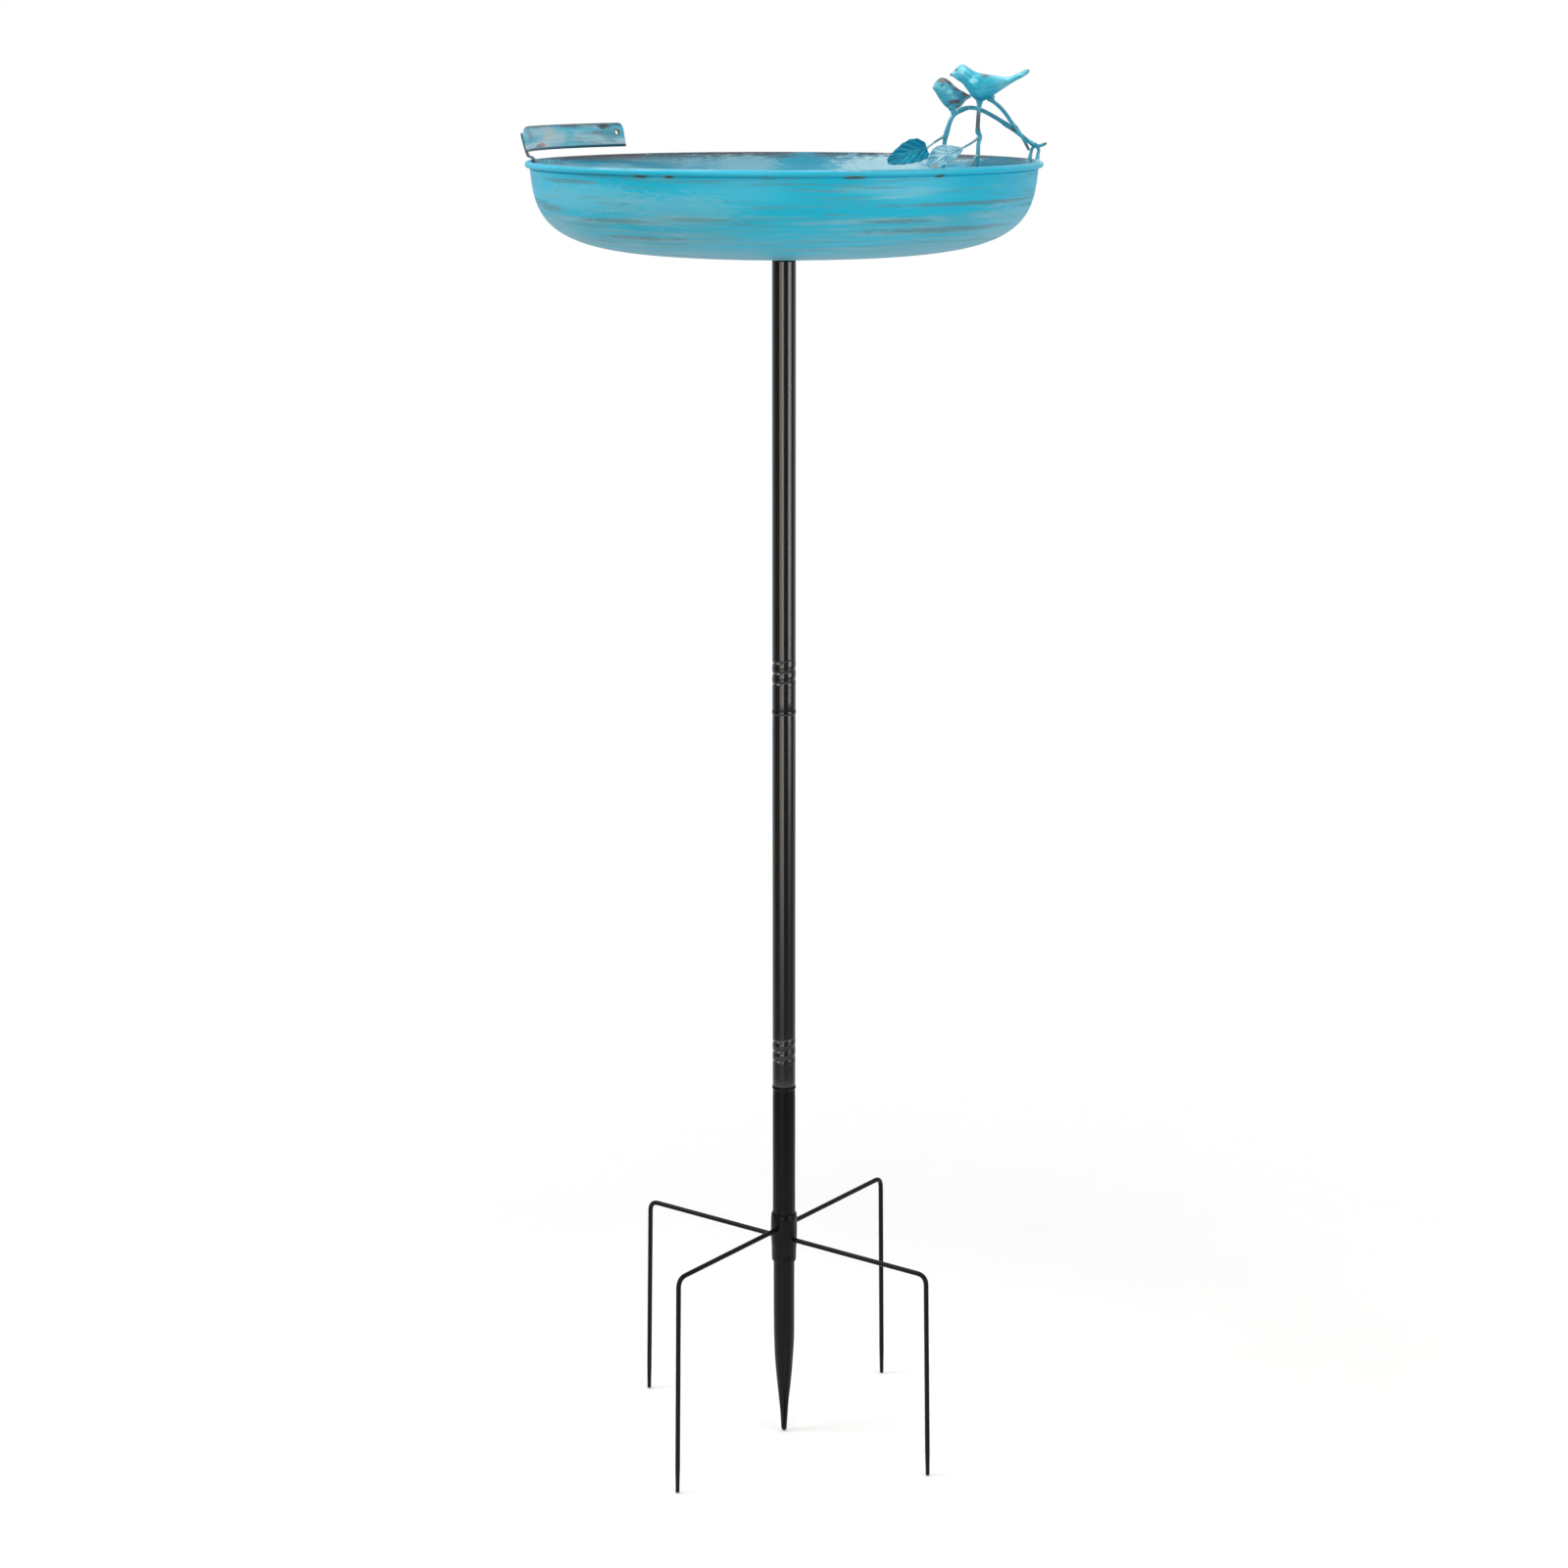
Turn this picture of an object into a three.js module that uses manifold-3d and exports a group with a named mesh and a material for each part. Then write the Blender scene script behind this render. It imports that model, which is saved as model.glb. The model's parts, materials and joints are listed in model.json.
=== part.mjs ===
// Bird bath and feeder dish on a three-section screw-together pole with a four-prong ground stake.
// Millimetres, +Z up. The origin is on the pole's axis at the level of the prong tips, and -Y faces
// the viewer. Every mesh is one physical piece.
import * as THREE from "three";
import { mergeVertices } from "three/addons/utils/BufferGeometryUtils.js";
import Module from "manifold-3d";

const wasm = await Module();
wasm.setup();

// ---------------------------------------------------------------- driving dimensions

const GAP = 0.3; // clearance between pieces that touch or are welded
const RUNNING_GAP = 0.5; // radial clearance of a screwed joint

// Pole: three tubes of one stock
const POLE_RADIUS = 7.5;
const POLE_WALL = 1;
const STAKE_LENGTH = 246.5; // ground to the shoulder of the lower joint
const MIDDLE_LENGTH = 253.5; // lower joint to upper joint
const UPPER_LENGTH = 285.4; // upper joint to the top of the pole
const NECK_LENGTH = 32; // swaged male end inside the tube above
const SHOULDER_HEIGHT = 2.4; // rounded shoulder under a neck
const SHOULDER_BULGE = 0.35; // how far the shoulder bead stands out
const THREAD_LEAD = 6.8; // pitch of the rolled grooves
const THREAD_DEPTH = 0.5;
const THREAD_START = 15.5; // joint to the first groove
const THREAD_LENGTH = 18;

// Spike: the lower tube pressed to a blunt point
const SPIKE_RADIUS = 7;
const SPIKE_TAPER = 76; // length of the pointed stretch
const SPIKE_TIP_RADIUS = 1.9;

// Prongs: two wires bent into wide staples that cross inside the collar
const ROD_RADIUS = 1.6;
const PRONG_DEPTH = 139.3; // ground to the lower wire's centre line
const ROD_SPACING = 8; // lower wire to upper wire
const PRONG_REACH = 114.2; // axis to the straight of a leg at the elbow
const PRONG_SPLAY = 3; // how much further out a tip stands
const ELBOW_RADIUS = 7;
const LOWER_ROD_AZIMUTH = -36.2;
const UPPER_ROD_AZIMUTH = 53.8;
const COLLAR_LENGTH = 33.5;
const COLLAR_WALL = 0.95;
const COLLAR_BELOW = 15.8; // collar's lower end below the lower wire

// Dish
const BOWL_RADIUS = 160; // outside of the rolled rim
const BOWL_DEPTH = 56.5;
const BOWL_WALL = 1.2;
const BOWL_FLAT_RADIUS = 66; // flat middle of the floor
const BEAD_RADIUS = 2;
const BOWL_FLARE = 2.6; // inward lean of the wall's upper half

// Screwed mounting under the dish
const FLANGE_RADIUS = 22;
const FLANGE_WALL = 1.2;
const FLANGE_DISH = 1.8; // depth of the pressed middle
const STUD_RADIUS = 3.8;
const STUD_LENGTH = 14;
const STUD_HEAD_RADIUS = 6.2;
const STUD_HEAD_HEIGHT = 1.2;
const WASHER_HEIGHT = 1.2;
const NUT_HEIGHT = 12;

// Strap that follows the rim at the back left
const BAND_HEIGHT = 15.6;
const BAND_THICKNESS = 1.2;
const BAND_LIFT = 4.6; // its lower edge above the rim
const BAND_OUTSET = -1.4; // its lower edge outside the rim's outer edge
const BAND_LEAN = 14.5; // degrees outward
const BAND_FROM = 177.5;
const BAND_TO = 130.7;
const BAND_CORNER_LEFT = [24, 7]; // length and height of its rounded upper left corner
const BAND_CORNER_RIGHT = [3.5, 3.5];
const BAND_HOLE_RADIUS = 1.5;
const BAND_HOLE_INSET = 2.1; // degrees in from the strap's right end
const BAND_LEG_WIDTH = 8;

// Perch ornament: wires, leaves and birds
const ORNAMENT_AZIMUTH = 8; // where its foot stands on the rim
const BRANCH_RADIUS = 1.25;
const TWIG_RADIUS = 1;
const STEM_RADIUS = 0.7;
const LEAF_THICKNESS = 0.8;

const TUBE_SIDES = 24;
const BOWL_SIDES = 60;
const ROD_SIDES = 10;
const WIRE_SIDES = 8;

// ---------------------------------------------------------------- derived levels

const LOWER_JOINT = STAKE_LENGTH;
const UPPER_JOINT = LOWER_JOINT + MIDDLE_LENGTH;
const POLE_TOP = UPPER_JOINT + UPPER_LENGTH;
const WASHER_BASE = POLE_TOP + GAP;
const FLANGE_BASE = WASHER_BASE + WASHER_HEIGHT + GAP;
const BOWL_BASE = FLANGE_BASE + FLANGE_WALL + FLANGE_DISH + GAP;
const RIM = BOWL_BASE + BOWL_DEPTH;
const POLE_BORE = POLE_RADIUS - POLE_WALL;
const BEAD_CENTRE = BOWL_RADIUS - BEAD_RADIUS;
const LOWER_ROD_HEIGHT = PRONG_DEPTH;
const UPPER_ROD_HEIGHT = PRONG_DEPTH + ROD_SPACING;

// ---------------------------------------------------------------- finishes

const finish = (color, roughness, metalness) => ({ color, roughness, metalness });
const BLACK_COAT = finish(0x17161a, 0.42, 0.3);
const BLUE_COAT = finish(0x4fb4d2, 0.5, 0.2);
const TEAL_COAT = finish(0x2f9fba, 0.4, 0.3);
const PALE_COAT = finish(0x8fc3d2, 0.5, 0.2);
const ZINC = finish(0xb4b7ba, 0.35, 0.9);
const RUBBER = finish(0x1c1c1c, 0.9, 0);

// ---------------------------------------------------------------- helpers

const radians = THREE.MathUtils.degToRad;
const clamp = THREE.MathUtils.clamp;
const polar = (radius, degrees, z) =>
  new THREE.Vector3(radius * Math.cos(radians(degrees)), radius * Math.sin(radians(degrees)), z);

function piece(parent, name, geometry, look) {
  const mesh = new THREE.Mesh(geometry, new THREE.MeshStandardMaterial(look));
  mesh.name = name;
  parent.add(mesh);
  return mesh;
}

// A body turned about the Z axis from [radius, height] points, anticlockwise round the section.
function turned(points, sides = TUBE_SIDES) {
  const outline = points.map(([radius, height]) => new THREE.Vector2(radius, height));
  if (points[0][0] > 0) outline.push(outline[0].clone());
  return new THREE.LatheGeometry(outline, sides).rotateX(Math.PI / 2);
}

// A path that passes through its stations exactly, so an extrusion puts one ring at each of them.
class StationPath extends THREE.Curve {
  constructor(stations, squareEnds = false) {
    super();
    this.stations = stations;
    this.squareEnds = squareEnds;
  }

  getPoint(t) {
    const span = t * (this.stations.length - 1);
    const index = Math.min(Math.floor(span), this.stations.length - 2);
    return this.stations[index].clone().lerp(this.stations[index + 1], span - index);
  }

  getPointAt(u) {
    return this.getPoint(u);
  }

  getTangentAt(u) {
    const last = this.stations.length - 1;
    const index = Math.round(u * last);
    const before = this.stations[Math.max(index - 1, 0)];
    const after = this.stations[Math.min(index + 1, last)];
    const tangent = after.clone().sub(before).normalize();
    if (this.squareEnds && (index === 0 || index === last)) {
      tangent.set(0, 0, Math.sign(tangent.z));
    }
    return tangent;
  }
}

function roundSection(radius, sides) {
  const corners = [];
  for (let side = 0; side < sides; side++) {
    const angle = (side * 2 * Math.PI) / sides;
    corners.push(new THREE.Vector2(radius * Math.cos(angle), radius * Math.sin(angle)));
  }
  return new THREE.Shape(corners);
}

function rod(stations, radius, sides = WIRE_SIDES, squareEnds = false) {
  return new THREE.ExtrudeGeometry(roundSection(radius, sides), {
    steps: stations.length - 1,
    extrudePath: new StationPath(stations, squareEnds),
  });
}

// A smooth wire through a few chosen points.
function wire(points, radius, steps) {
  const curve = new THREE.CatmullRomCurve3(points, false, "centripetal");
  return rod(curve.getSpacedPoints(steps), radius);
}

// Straight runs between corners, with each corner rounded to a bend radius.
function bentStations(corners, bendRadius, bendSteps) {
  const stations = [corners[0]];
  for (let i = 1; i < corners.length - 1; i++) {
    const into = corners[i].clone().sub(corners[i - 1]).normalize();
    const out = corners[i + 1].clone().sub(corners[i]).normalize();
    const cut = bendRadius * Math.tan(into.angleTo(out) / 2);
    const arc = new THREE.QuadraticBezierCurve3(
      corners[i].clone().addScaledVector(into, -cut),
      corners[i],
      corners[i].clone().addScaledVector(out, cut),
    );
    stations.push(...arc.getPoints(bendSteps));
  }
  stations.push(corners[corners.length - 1]);
  return stations;
}

// A closed skin over rows of points: each row is a ring, and the first and last rows are filled in.
function ringBody(rings) {
  const count = rings[0].length;
  const positions = rings.flat().flatMap((point) => point.toArray());
  const faces = [];
  for (let row = 0; row < rings.length - 1; row++) {
    for (let i = 0; i < count; i++) {
      const a = row * count + i;
      const b = row * count + ((i + 1) % count);
      faces.push(a, b, b + count, a, b + count, a + count);
    }
  }
  const last = (rings.length - 1) * count;
  for (let i = 1; i < count - 1; i++) {
    faces.push(0, i + 1, i);
    faces.push(last, last + i, last + i + 1);
  }
  const geometry = new THREE.BufferGeometry();
  geometry.setAttribute("position", new THREE.Float32BufferAttribute(positions, 3));
  geometry.setIndex(faces);
  geometry.computeVertexNormals();
  return geometry;
}

// A thin sheet of even thickness: surface(u, v) gives its middle, u along it and v across it.
function sheet(surface, columns, rows, thickness) {
  const step = 1e-3;
  const rings = [];
  for (let column = 0; column <= columns; column++) {
    const u = column / columns;
    const front = [];
    const back = [];
    for (let row = 0; row <= rows; row++) {
      const v = row / rows;
      const middle = surface(u, v);
      const along = surface(Math.min(u + step, 1), v).sub(surface(Math.max(u - step, 0), v));
      const across = surface(u, Math.min(v + step, 1)).sub(surface(u, Math.max(v - step, 0)));
      const normal = along.cross(across).normalize().multiplyScalar(thickness / 2);
      front.push(middle.clone().sub(normal));
      back.unshift(middle.clone().add(normal));
    }
    rings.push([...front, ...back]);
  }
  return ringBody(rings);
}

function toSolid(geometry) {
  const bare = geometry.clone();
  bare.deleteAttribute("normal");
  bare.deleteAttribute("uv");
  const merged = mergeVertices(bare, 1e-3);
  return new wasm.Manifold(
    new wasm.Mesh({
      numProp: 3,
      vertProperties: merged.getAttribute("position").array,
      triVerts: new Uint32Array(merged.index.array),
    }),
  );
}

function cutAway(geometry, tools) {
  const solid = tools.reduce((rest, tool) => rest.subtract(toSolid(tool)), toSolid(geometry));
  const { vertProperties, triVerts } = solid.getMesh();
  const cut = new THREE.BufferGeometry();
  cut.setAttribute("position", new THREE.BufferAttribute(vertProperties, 3));
  cut.setIndex(new THREE.BufferAttribute(triVerts, 1));
  const faceted = cut.toNonIndexed();
  faceted.computeVertexNormals();
  return faceted;
}

// ---------------------------------------------------------------- pole

// Heights from the bottom to the top of a rolled thread, close enough together to carry its grooves.
function threadRows(bottom) {
  const rows = Math.round((THREAD_LENGTH / THREAD_LEAD) * 6);
  const heights = [];
  for (let row = 0; row <= rows; row++) {
    heights.push(bottom + THREAD_START + (row * THREAD_LENGTH) / rows);
  }
  return heights;
}

// Presses helical grooves into the outside of a tube whose lower end is at bottom.
function rollThread(geometry, bottom) {
  const position = geometry.getAttribute("position");
  const point = new THREE.Vector3();
  for (let i = 0; i < position.count; i++) {
    point.fromBufferAttribute(position, i);
    const radius = Math.hypot(point.x, point.y);
    const along = (point.z - bottom - THREAD_START) / THREAD_LENGTH;
    if (radius < POLE_RADIUS - POLE_WALL / 2 || along <= 0 || along >= 1) continue;
    const turn = Math.atan2(point.y, point.x) / (2 * Math.PI);
    const phase = Math.cos(2 * Math.PI * ((point.z - bottom) / THREAD_LEAD - turn));
    const fade = clamp(8 * Math.min(along, 1 - along), 0, 1);
    const scale = 1 - (THREAD_DEPTH * fade * Math.max(phase, 0) ** 2) / radius;
    position.setXY(i, point.x * scale, point.y * scale);
  }
  return geometry;
}

const femaleEnd = (bottom) => [
  [POLE_RADIUS - GAP, bottom],
  [POLE_RADIUS, bottom + GAP],
  ...threadRows(bottom).map((height) => [POLE_RADIUS, height]),
];

// The outside of a rounded shoulder and the neck above it, then back down the neck's bore.
function maleEnd(shoulder) {
  const neck = POLE_BORE - RUNNING_GAP;
  const bore = neck - POLE_WALL;
  const top = shoulder + NECK_LENGTH;
  return [
    [POLE_RADIUS, shoulder - SHOULDER_HEIGHT - GAP],
    [POLE_RADIUS + SHOULDER_BULGE, shoulder - SHOULDER_HEIGHT / 2 - GAP],
    [POLE_RADIUS - GAP, shoulder - GAP],
    [neck, shoulder - GAP],
    [neck, top - 1],
    [neck - 0.5, top],
    [bore, top],
    [bore, shoulder - SHOULDER_HEIGHT],
    [POLE_BORE, shoulder - SHOULDER_HEIGHT - 2],
  ];
}

function addPole(parent) {
  const upper = turned([
    [POLE_BORE, UPPER_JOINT],
    ...femaleEnd(UPPER_JOINT),
    [POLE_RADIUS, POLE_TOP],
    [POLE_BORE, POLE_TOP],
  ]);
  piece(parent, "pole_upper", rollThread(upper, UPPER_JOINT), BLACK_COAT);
  const middle = turned([
    [POLE_BORE, LOWER_JOINT],
    ...femaleEnd(LOWER_JOINT),
    ...maleEnd(UPPER_JOINT),
  ]);
  piece(parent, "pole_middle", rollThread(middle, LOWER_JOINT), BLACK_COAT);
}

// ---------------------------------------------------------------- stake

const collarBottom = LOWER_ROD_HEIGHT - COLLAR_BELOW;
const collarTop = collarBottom + COLLAR_LENGTH;

// A straight cutter along a rod, long enough to pass through the tube and the collar.
function rodHole(azimuth, height) {
  const reach = 2 * POLE_RADIUS;
  return rod([polar(-reach, azimuth, height), polar(reach, azimuth, height)], ROD_RADIUS + GAP, 16);
}

function addStake(parent) {
  const holes = [
    rodHole(LOWER_ROD_AZIMUTH, LOWER_ROD_HEIGHT),
    rodHole(UPPER_ROD_AZIMUTH, UPPER_ROD_HEIGHT),
  ];
  const taper = [0.08, 0.18, 0.36, 0.55, 0.74, 0.88, 1].map((part) => [
    SPIKE_TIP_RADIUS + (SPIKE_RADIUS - SPIKE_TIP_RADIUS) * Math.sin((part * Math.PI) / 2) ** 1.5,
    SPIKE_TAPER * part,
  ]);
  const lower = turned([
    [0, 0],
    [SPIKE_TIP_RADIUS * 0.6, 0.4],
    [SPIKE_TIP_RADIUS * 0.95, 1.8],
    ...taper,
    [SPIKE_RADIUS, collarBottom + 2],
    [POLE_RADIUS, collarTop - 6],
    ...maleEnd(LOWER_JOINT),
    [POLE_BORE, collarTop],
    [SPIKE_RADIUS - POLE_WALL, collarBottom],
    [SPIKE_RADIUS - POLE_WALL, SPIKE_TAPER],
    [0, SPIKE_TAPER - 20],
  ]);
  piece(parent, "pole_lower", cutAway(lower, holes), BLACK_COAT);

  const bore = POLE_RADIUS + GAP;
  const collar = turned([
    [bore, collarBottom],
    [bore + COLLAR_WALL * 0.5, collarBottom],
    [bore + COLLAR_WALL * 0.75, collarBottom + COLLAR_LENGTH * 0.35],
    [bore + COLLAR_WALL, collarBottom + COLLAR_LENGTH * 0.72],
    [bore + COLLAR_WALL * 0.9, collarTop - 2.5],
    [bore + COLLAR_WALL * 0.35, collarTop],
    [bore, collarTop],
  ]);
  piece(parent, "prong_collar", cutAway(collar, holes), BLACK_COAT);

  for (const [name, azimuth, height] of [
    ["prong_rod_lower", LOWER_ROD_AZIMUTH, LOWER_ROD_HEIGHT],
    ["prong_rod_upper", UPPER_ROD_AZIMUTH, UPPER_ROD_HEIGHT],
  ]) {
    const staple = new THREE.Group();
    staple.rotation.z = radians(azimuth);
    const corners = [
      new THREE.Vector3(-PRONG_REACH - PRONG_SPLAY, 0, 0),
      new THREE.Vector3(-PRONG_REACH, 0, height),
      new THREE.Vector3(PRONG_REACH, 0, height),
      new THREE.Vector3(PRONG_REACH + PRONG_SPLAY, 0, 0),
    ];
    const stations = bentStations(corners, ELBOW_RADIUS, 5);
    piece(staple, name, rod(stations, ROD_RADIUS, ROD_SIDES, true), BLACK_COAT);
    parent.add(staple);
  }
}

// ---------------------------------------------------------------- dish

// The outside of the dish from the edge of its flat middle up to the rim, heights below the rim.
function wallCurve() {
  const top = BEAD_CENTRE - BEAD_RADIUS / 2;
  return new THREE.CubicBezierCurve(
    new THREE.Vector2(BOWL_FLAT_RADIUS, -BOWL_DEPTH),
    new THREE.Vector2(top - 5, -BOWL_DEPTH + 0.5),
    new THREE.Vector2(top - BOWL_FLARE, -BOWL_DEPTH * 0.55),
    new THREE.Vector2(top, -2 * BEAD_RADIUS),
  );
}

// Outer and inner wall points, the inner ones set in square to the wall.
function wallPoints(count) {
  const curve = wallCurve();
  const outer = [];
  const inner = [];
  for (let i = 0; i <= count; i++) {
    const t = i / count;
    const point = curve.getPoint(t);
    const tangent = i ? curve.getTangent(t) : new THREE.Vector2(1, 0);
    outer.push([point.x, point.y]);
    inner.push([point.x - tangent.y * BOWL_WALL, point.y + tangent.x * BOWL_WALL]);
  }
  return { outer, inner };
}

const WALL = wallPoints(10);

// Height of the dish's inside surface at a distance from the axis.
function floorHeight(radius) {
  const row = WALL.inner.findIndex(([wallRadius]) => wallRadius > radius);
  if (row <= 0) return -BOWL_DEPTH + BOWL_WALL;
  const [r0, z0] = WALL.inner[row - 1];
  const [r1, z1] = WALL.inner[row];
  return z0 + ((radius - r0) / (r1 - r0)) * (z1 - z0);
}

// Distance from the axis to the dish's inside surface at a height below the rim.
function innerRadius(height) {
  const row = Math.max(WALL.inner.findIndex(([, wallHeight]) => wallHeight > height), 1);
  const [r0, z0] = WALL.inner[row - 1];
  const [r1, z1] = WALL.inner[row];
  return r0 + ((height - z0) / (z1 - z0)) * (r1 - r0);
}

function addBowl(parent) {
  const bead = [];
  for (const degrees of [-105, -50, 5, 60, 115]) {
    const angle = radians(degrees);
    bead.push([
      BEAD_CENTRE + BEAD_RADIUS * Math.cos(angle),
      -BEAD_RADIUS + BEAD_RADIUS * Math.sin(angle),
    ]);
  }
  const profile = [
    [0, -BOWL_DEPTH],
    ...WALL.outer,
    ...bead,
    ...WALL.inner.slice().reverse(),
    [0, -BOWL_DEPTH + BOWL_WALL],
  ];
  piece(parent, "bowl", turned(profile, BOWL_SIDES), BLUE_COAT);
}

function addMounting(parent) {
  const lip = FLANGE_BASE + FLANGE_DISH;
  const hole = STUD_RADIUS + GAP;
  const step = STUD_HEAD_RADIUS + 2 * GAP;
  const flange = turned([
    [hole, FLANGE_BASE],
    [step + FLANGE_WALL, FLANGE_BASE],
    [step + FLANGE_WALL + FLANGE_DISH, lip],
    [FLANGE_RADIUS, lip],
    [FLANGE_RADIUS, lip + FLANGE_WALL],
    [step + FLANGE_DISH, lip + FLANGE_WALL],
    [step, FLANGE_BASE + FLANGE_WALL],
    [hole, FLANGE_BASE + FLANGE_WALL],
  ]);
  piece(parent, "bowl_flange", flange, BLACK_COAT);
  const head = FLANGE_BASE + FLANGE_WALL + GAP;
  const stud = turned([
    [0, FLANGE_BASE - STUD_LENGTH],
    [STUD_RADIUS - 0.8, FLANGE_BASE - STUD_LENGTH],
    [STUD_RADIUS, FLANGE_BASE - STUD_LENGTH + 0.8],
    [STUD_RADIUS, head],
    [STUD_HEAD_RADIUS, head],
    [STUD_HEAD_RADIUS, head + STUD_HEAD_HEIGHT],
    [0, head + STUD_HEAD_HEIGHT],
  ]);
  piece(parent, "bowl_stud", stud, ZINC);
  const bore = STUD_RADIUS + RUNNING_GAP;
  const washer = turned([
    [bore, WASHER_BASE],
    [POLE_RADIUS + GAP, WASHER_BASE],
    [POLE_RADIUS + GAP, WASHER_BASE + WASHER_HEIGHT],
    [bore, WASHER_BASE + WASHER_HEIGHT],
  ]);
  piece(parent, "seat_washer", washer, RUBBER);
  const nut = turned([
    [bore, POLE_TOP - NUT_HEIGHT],
    [POLE_BORE - GAP, POLE_TOP - NUT_HEIGHT],
    [POLE_BORE - GAP, POLE_TOP],
    [bore, POLE_TOP],
  ]);
  piece(parent, "pole_nut", nut, ZINC);
}

// ---------------------------------------------------------------- rim strap

const leanOut = Math.sin(radians(BAND_LEAN));
const leanUp = Math.cos(radians(BAND_LEAN));
const bandRadius = (up) => BOWL_RADIUS + BAND_OUTSET + up * leanOut;
const bandHeight = (up) => BAND_LIFT + up * leanUp;

function addBand(parent) {
  const span = BAND_FROM - BAND_TO;
  const length = radians(span) * BOWL_RADIUS;
  const cornerDrop = (distance, [long, high]) => {
    const inset = Math.max(1 - distance / long, 0);
    return high * (1 - Math.sqrt(1 - inset ** 2));
  };
  const surface = (u, v) => {
    const drop =
      cornerDrop(u * length, BAND_CORNER_LEFT) + cornerDrop((1 - u) * length, BAND_CORNER_RIGHT);
    const up = (BAND_HEIGHT - drop) * v;
    return polar(bandRadius(up), BAND_FROM - span * u, bandHeight(up));
  };
  const eased = (u, v) => surface((1 - Math.cos(Math.PI * u)) / 2, v);
  const strap = sheet(eased, 28, 2, BAND_THICKNESS);
  const middle = BAND_HEIGHT * 0.6;
  const punch = (degrees) => {
    const direction = polar(1, degrees, 0).multiplyScalar(leanUp).setZ(-leanOut);
    const centre = polar(bandRadius(middle), degrees, bandHeight(middle));
    return rod(
      [-3, 3].map((out) => centre.clone().addScaledVector(direction, out)),
      BAND_HOLE_RADIUS,
    );
  };
  const holeAzimuth = BAND_TO + BAND_HOLE_INSET;
  piece(parent, "rim_band", cutAway(strap, [punch(holeAzimuth)]), BLUE_COAT);

  const beside = BAND_THICKNESS + GAP;
  const onBand = (up) => [bandRadius(up) + beside * leanUp, bandHeight(up) - beside * leanOut];
  const insideWall = (height) => [innerRadius(height) - GAP - BAND_THICKNESS / 2, height];
  const besideBead = BEAD_RADIUS + GAP + BAND_THICKNESS;
  const overBead = GAP + BAND_THICKNESS / 2;
  const route = [
    onBand(BAND_HEIGHT * 0.72),
    onBand(1.5),
    [BEAD_CENTRE + 0.9, overBead + 1],
    [BEAD_CENTRE - 1, overBead + 0.4],
    [BEAD_CENTRE - besideBead, -BEAD_RADIUS],
    insideWall(-9),
    insideWall(-18),
  ];
  const leg = new THREE.Group();
  leg.rotation.z = radians(BAND_FROM - 1.6);
  const foot = bentStrip(route, BAND_THICKNESS, BAND_LEG_WIDTH);
  piece(leg, "band_leg", foot, TEAL_COAT);
  parent.add(leg);
}

// A strip of metal whose side view follows a route of [radius, height] points.
function bentStrip(route, thickness, width) {
  const path = route.map(([radius, height]) => new THREE.Vector2(radius, height));
  const left = [];
  const right = [];
  path.forEach((point, i) => {
    const before = path[Math.max(i - 1, 0)];
    const after = path[Math.min(i + 1, path.length - 1)];
    const along = after.clone().sub(before).normalize();
    const side = new THREE.Vector2(-along.y, along.x).multiplyScalar(thickness / 2);
    left.push(point.clone().add(side));
    right.unshift(point.clone().sub(side));
  });
  const outline = new THREE.Shape([...left, ...right]);
  const strip = new THREE.ExtrudeGeometry(outline, { depth: width, bevelEnabled: false });
  return strip.rotateX(Math.PI / 2).translate(0, width / 2, 0);
}

// ---------------------------------------------------------------- perch ornament

// Ornament points are measured from where its foot stands on the rim bead.
const ornamentFoot = polar(BEAD_CENTRE, ORNAMENT_AZIMUTH, 0);
const at = (x, y, z) => new THREE.Vector3(x, y, z);

// The point on the dish's floor under an ornament point, with room for a wire's end.
function onFloor(x, y) {
  const radius = Math.hypot(x + ornamentFoot.x, y + ornamentFoot.y);
  const slopeRoom = BRANCH_RADIUS + GAP;
  return at(x, y, floorHeight(radius + slopeRoom) + 2 * GAP);
}

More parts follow.
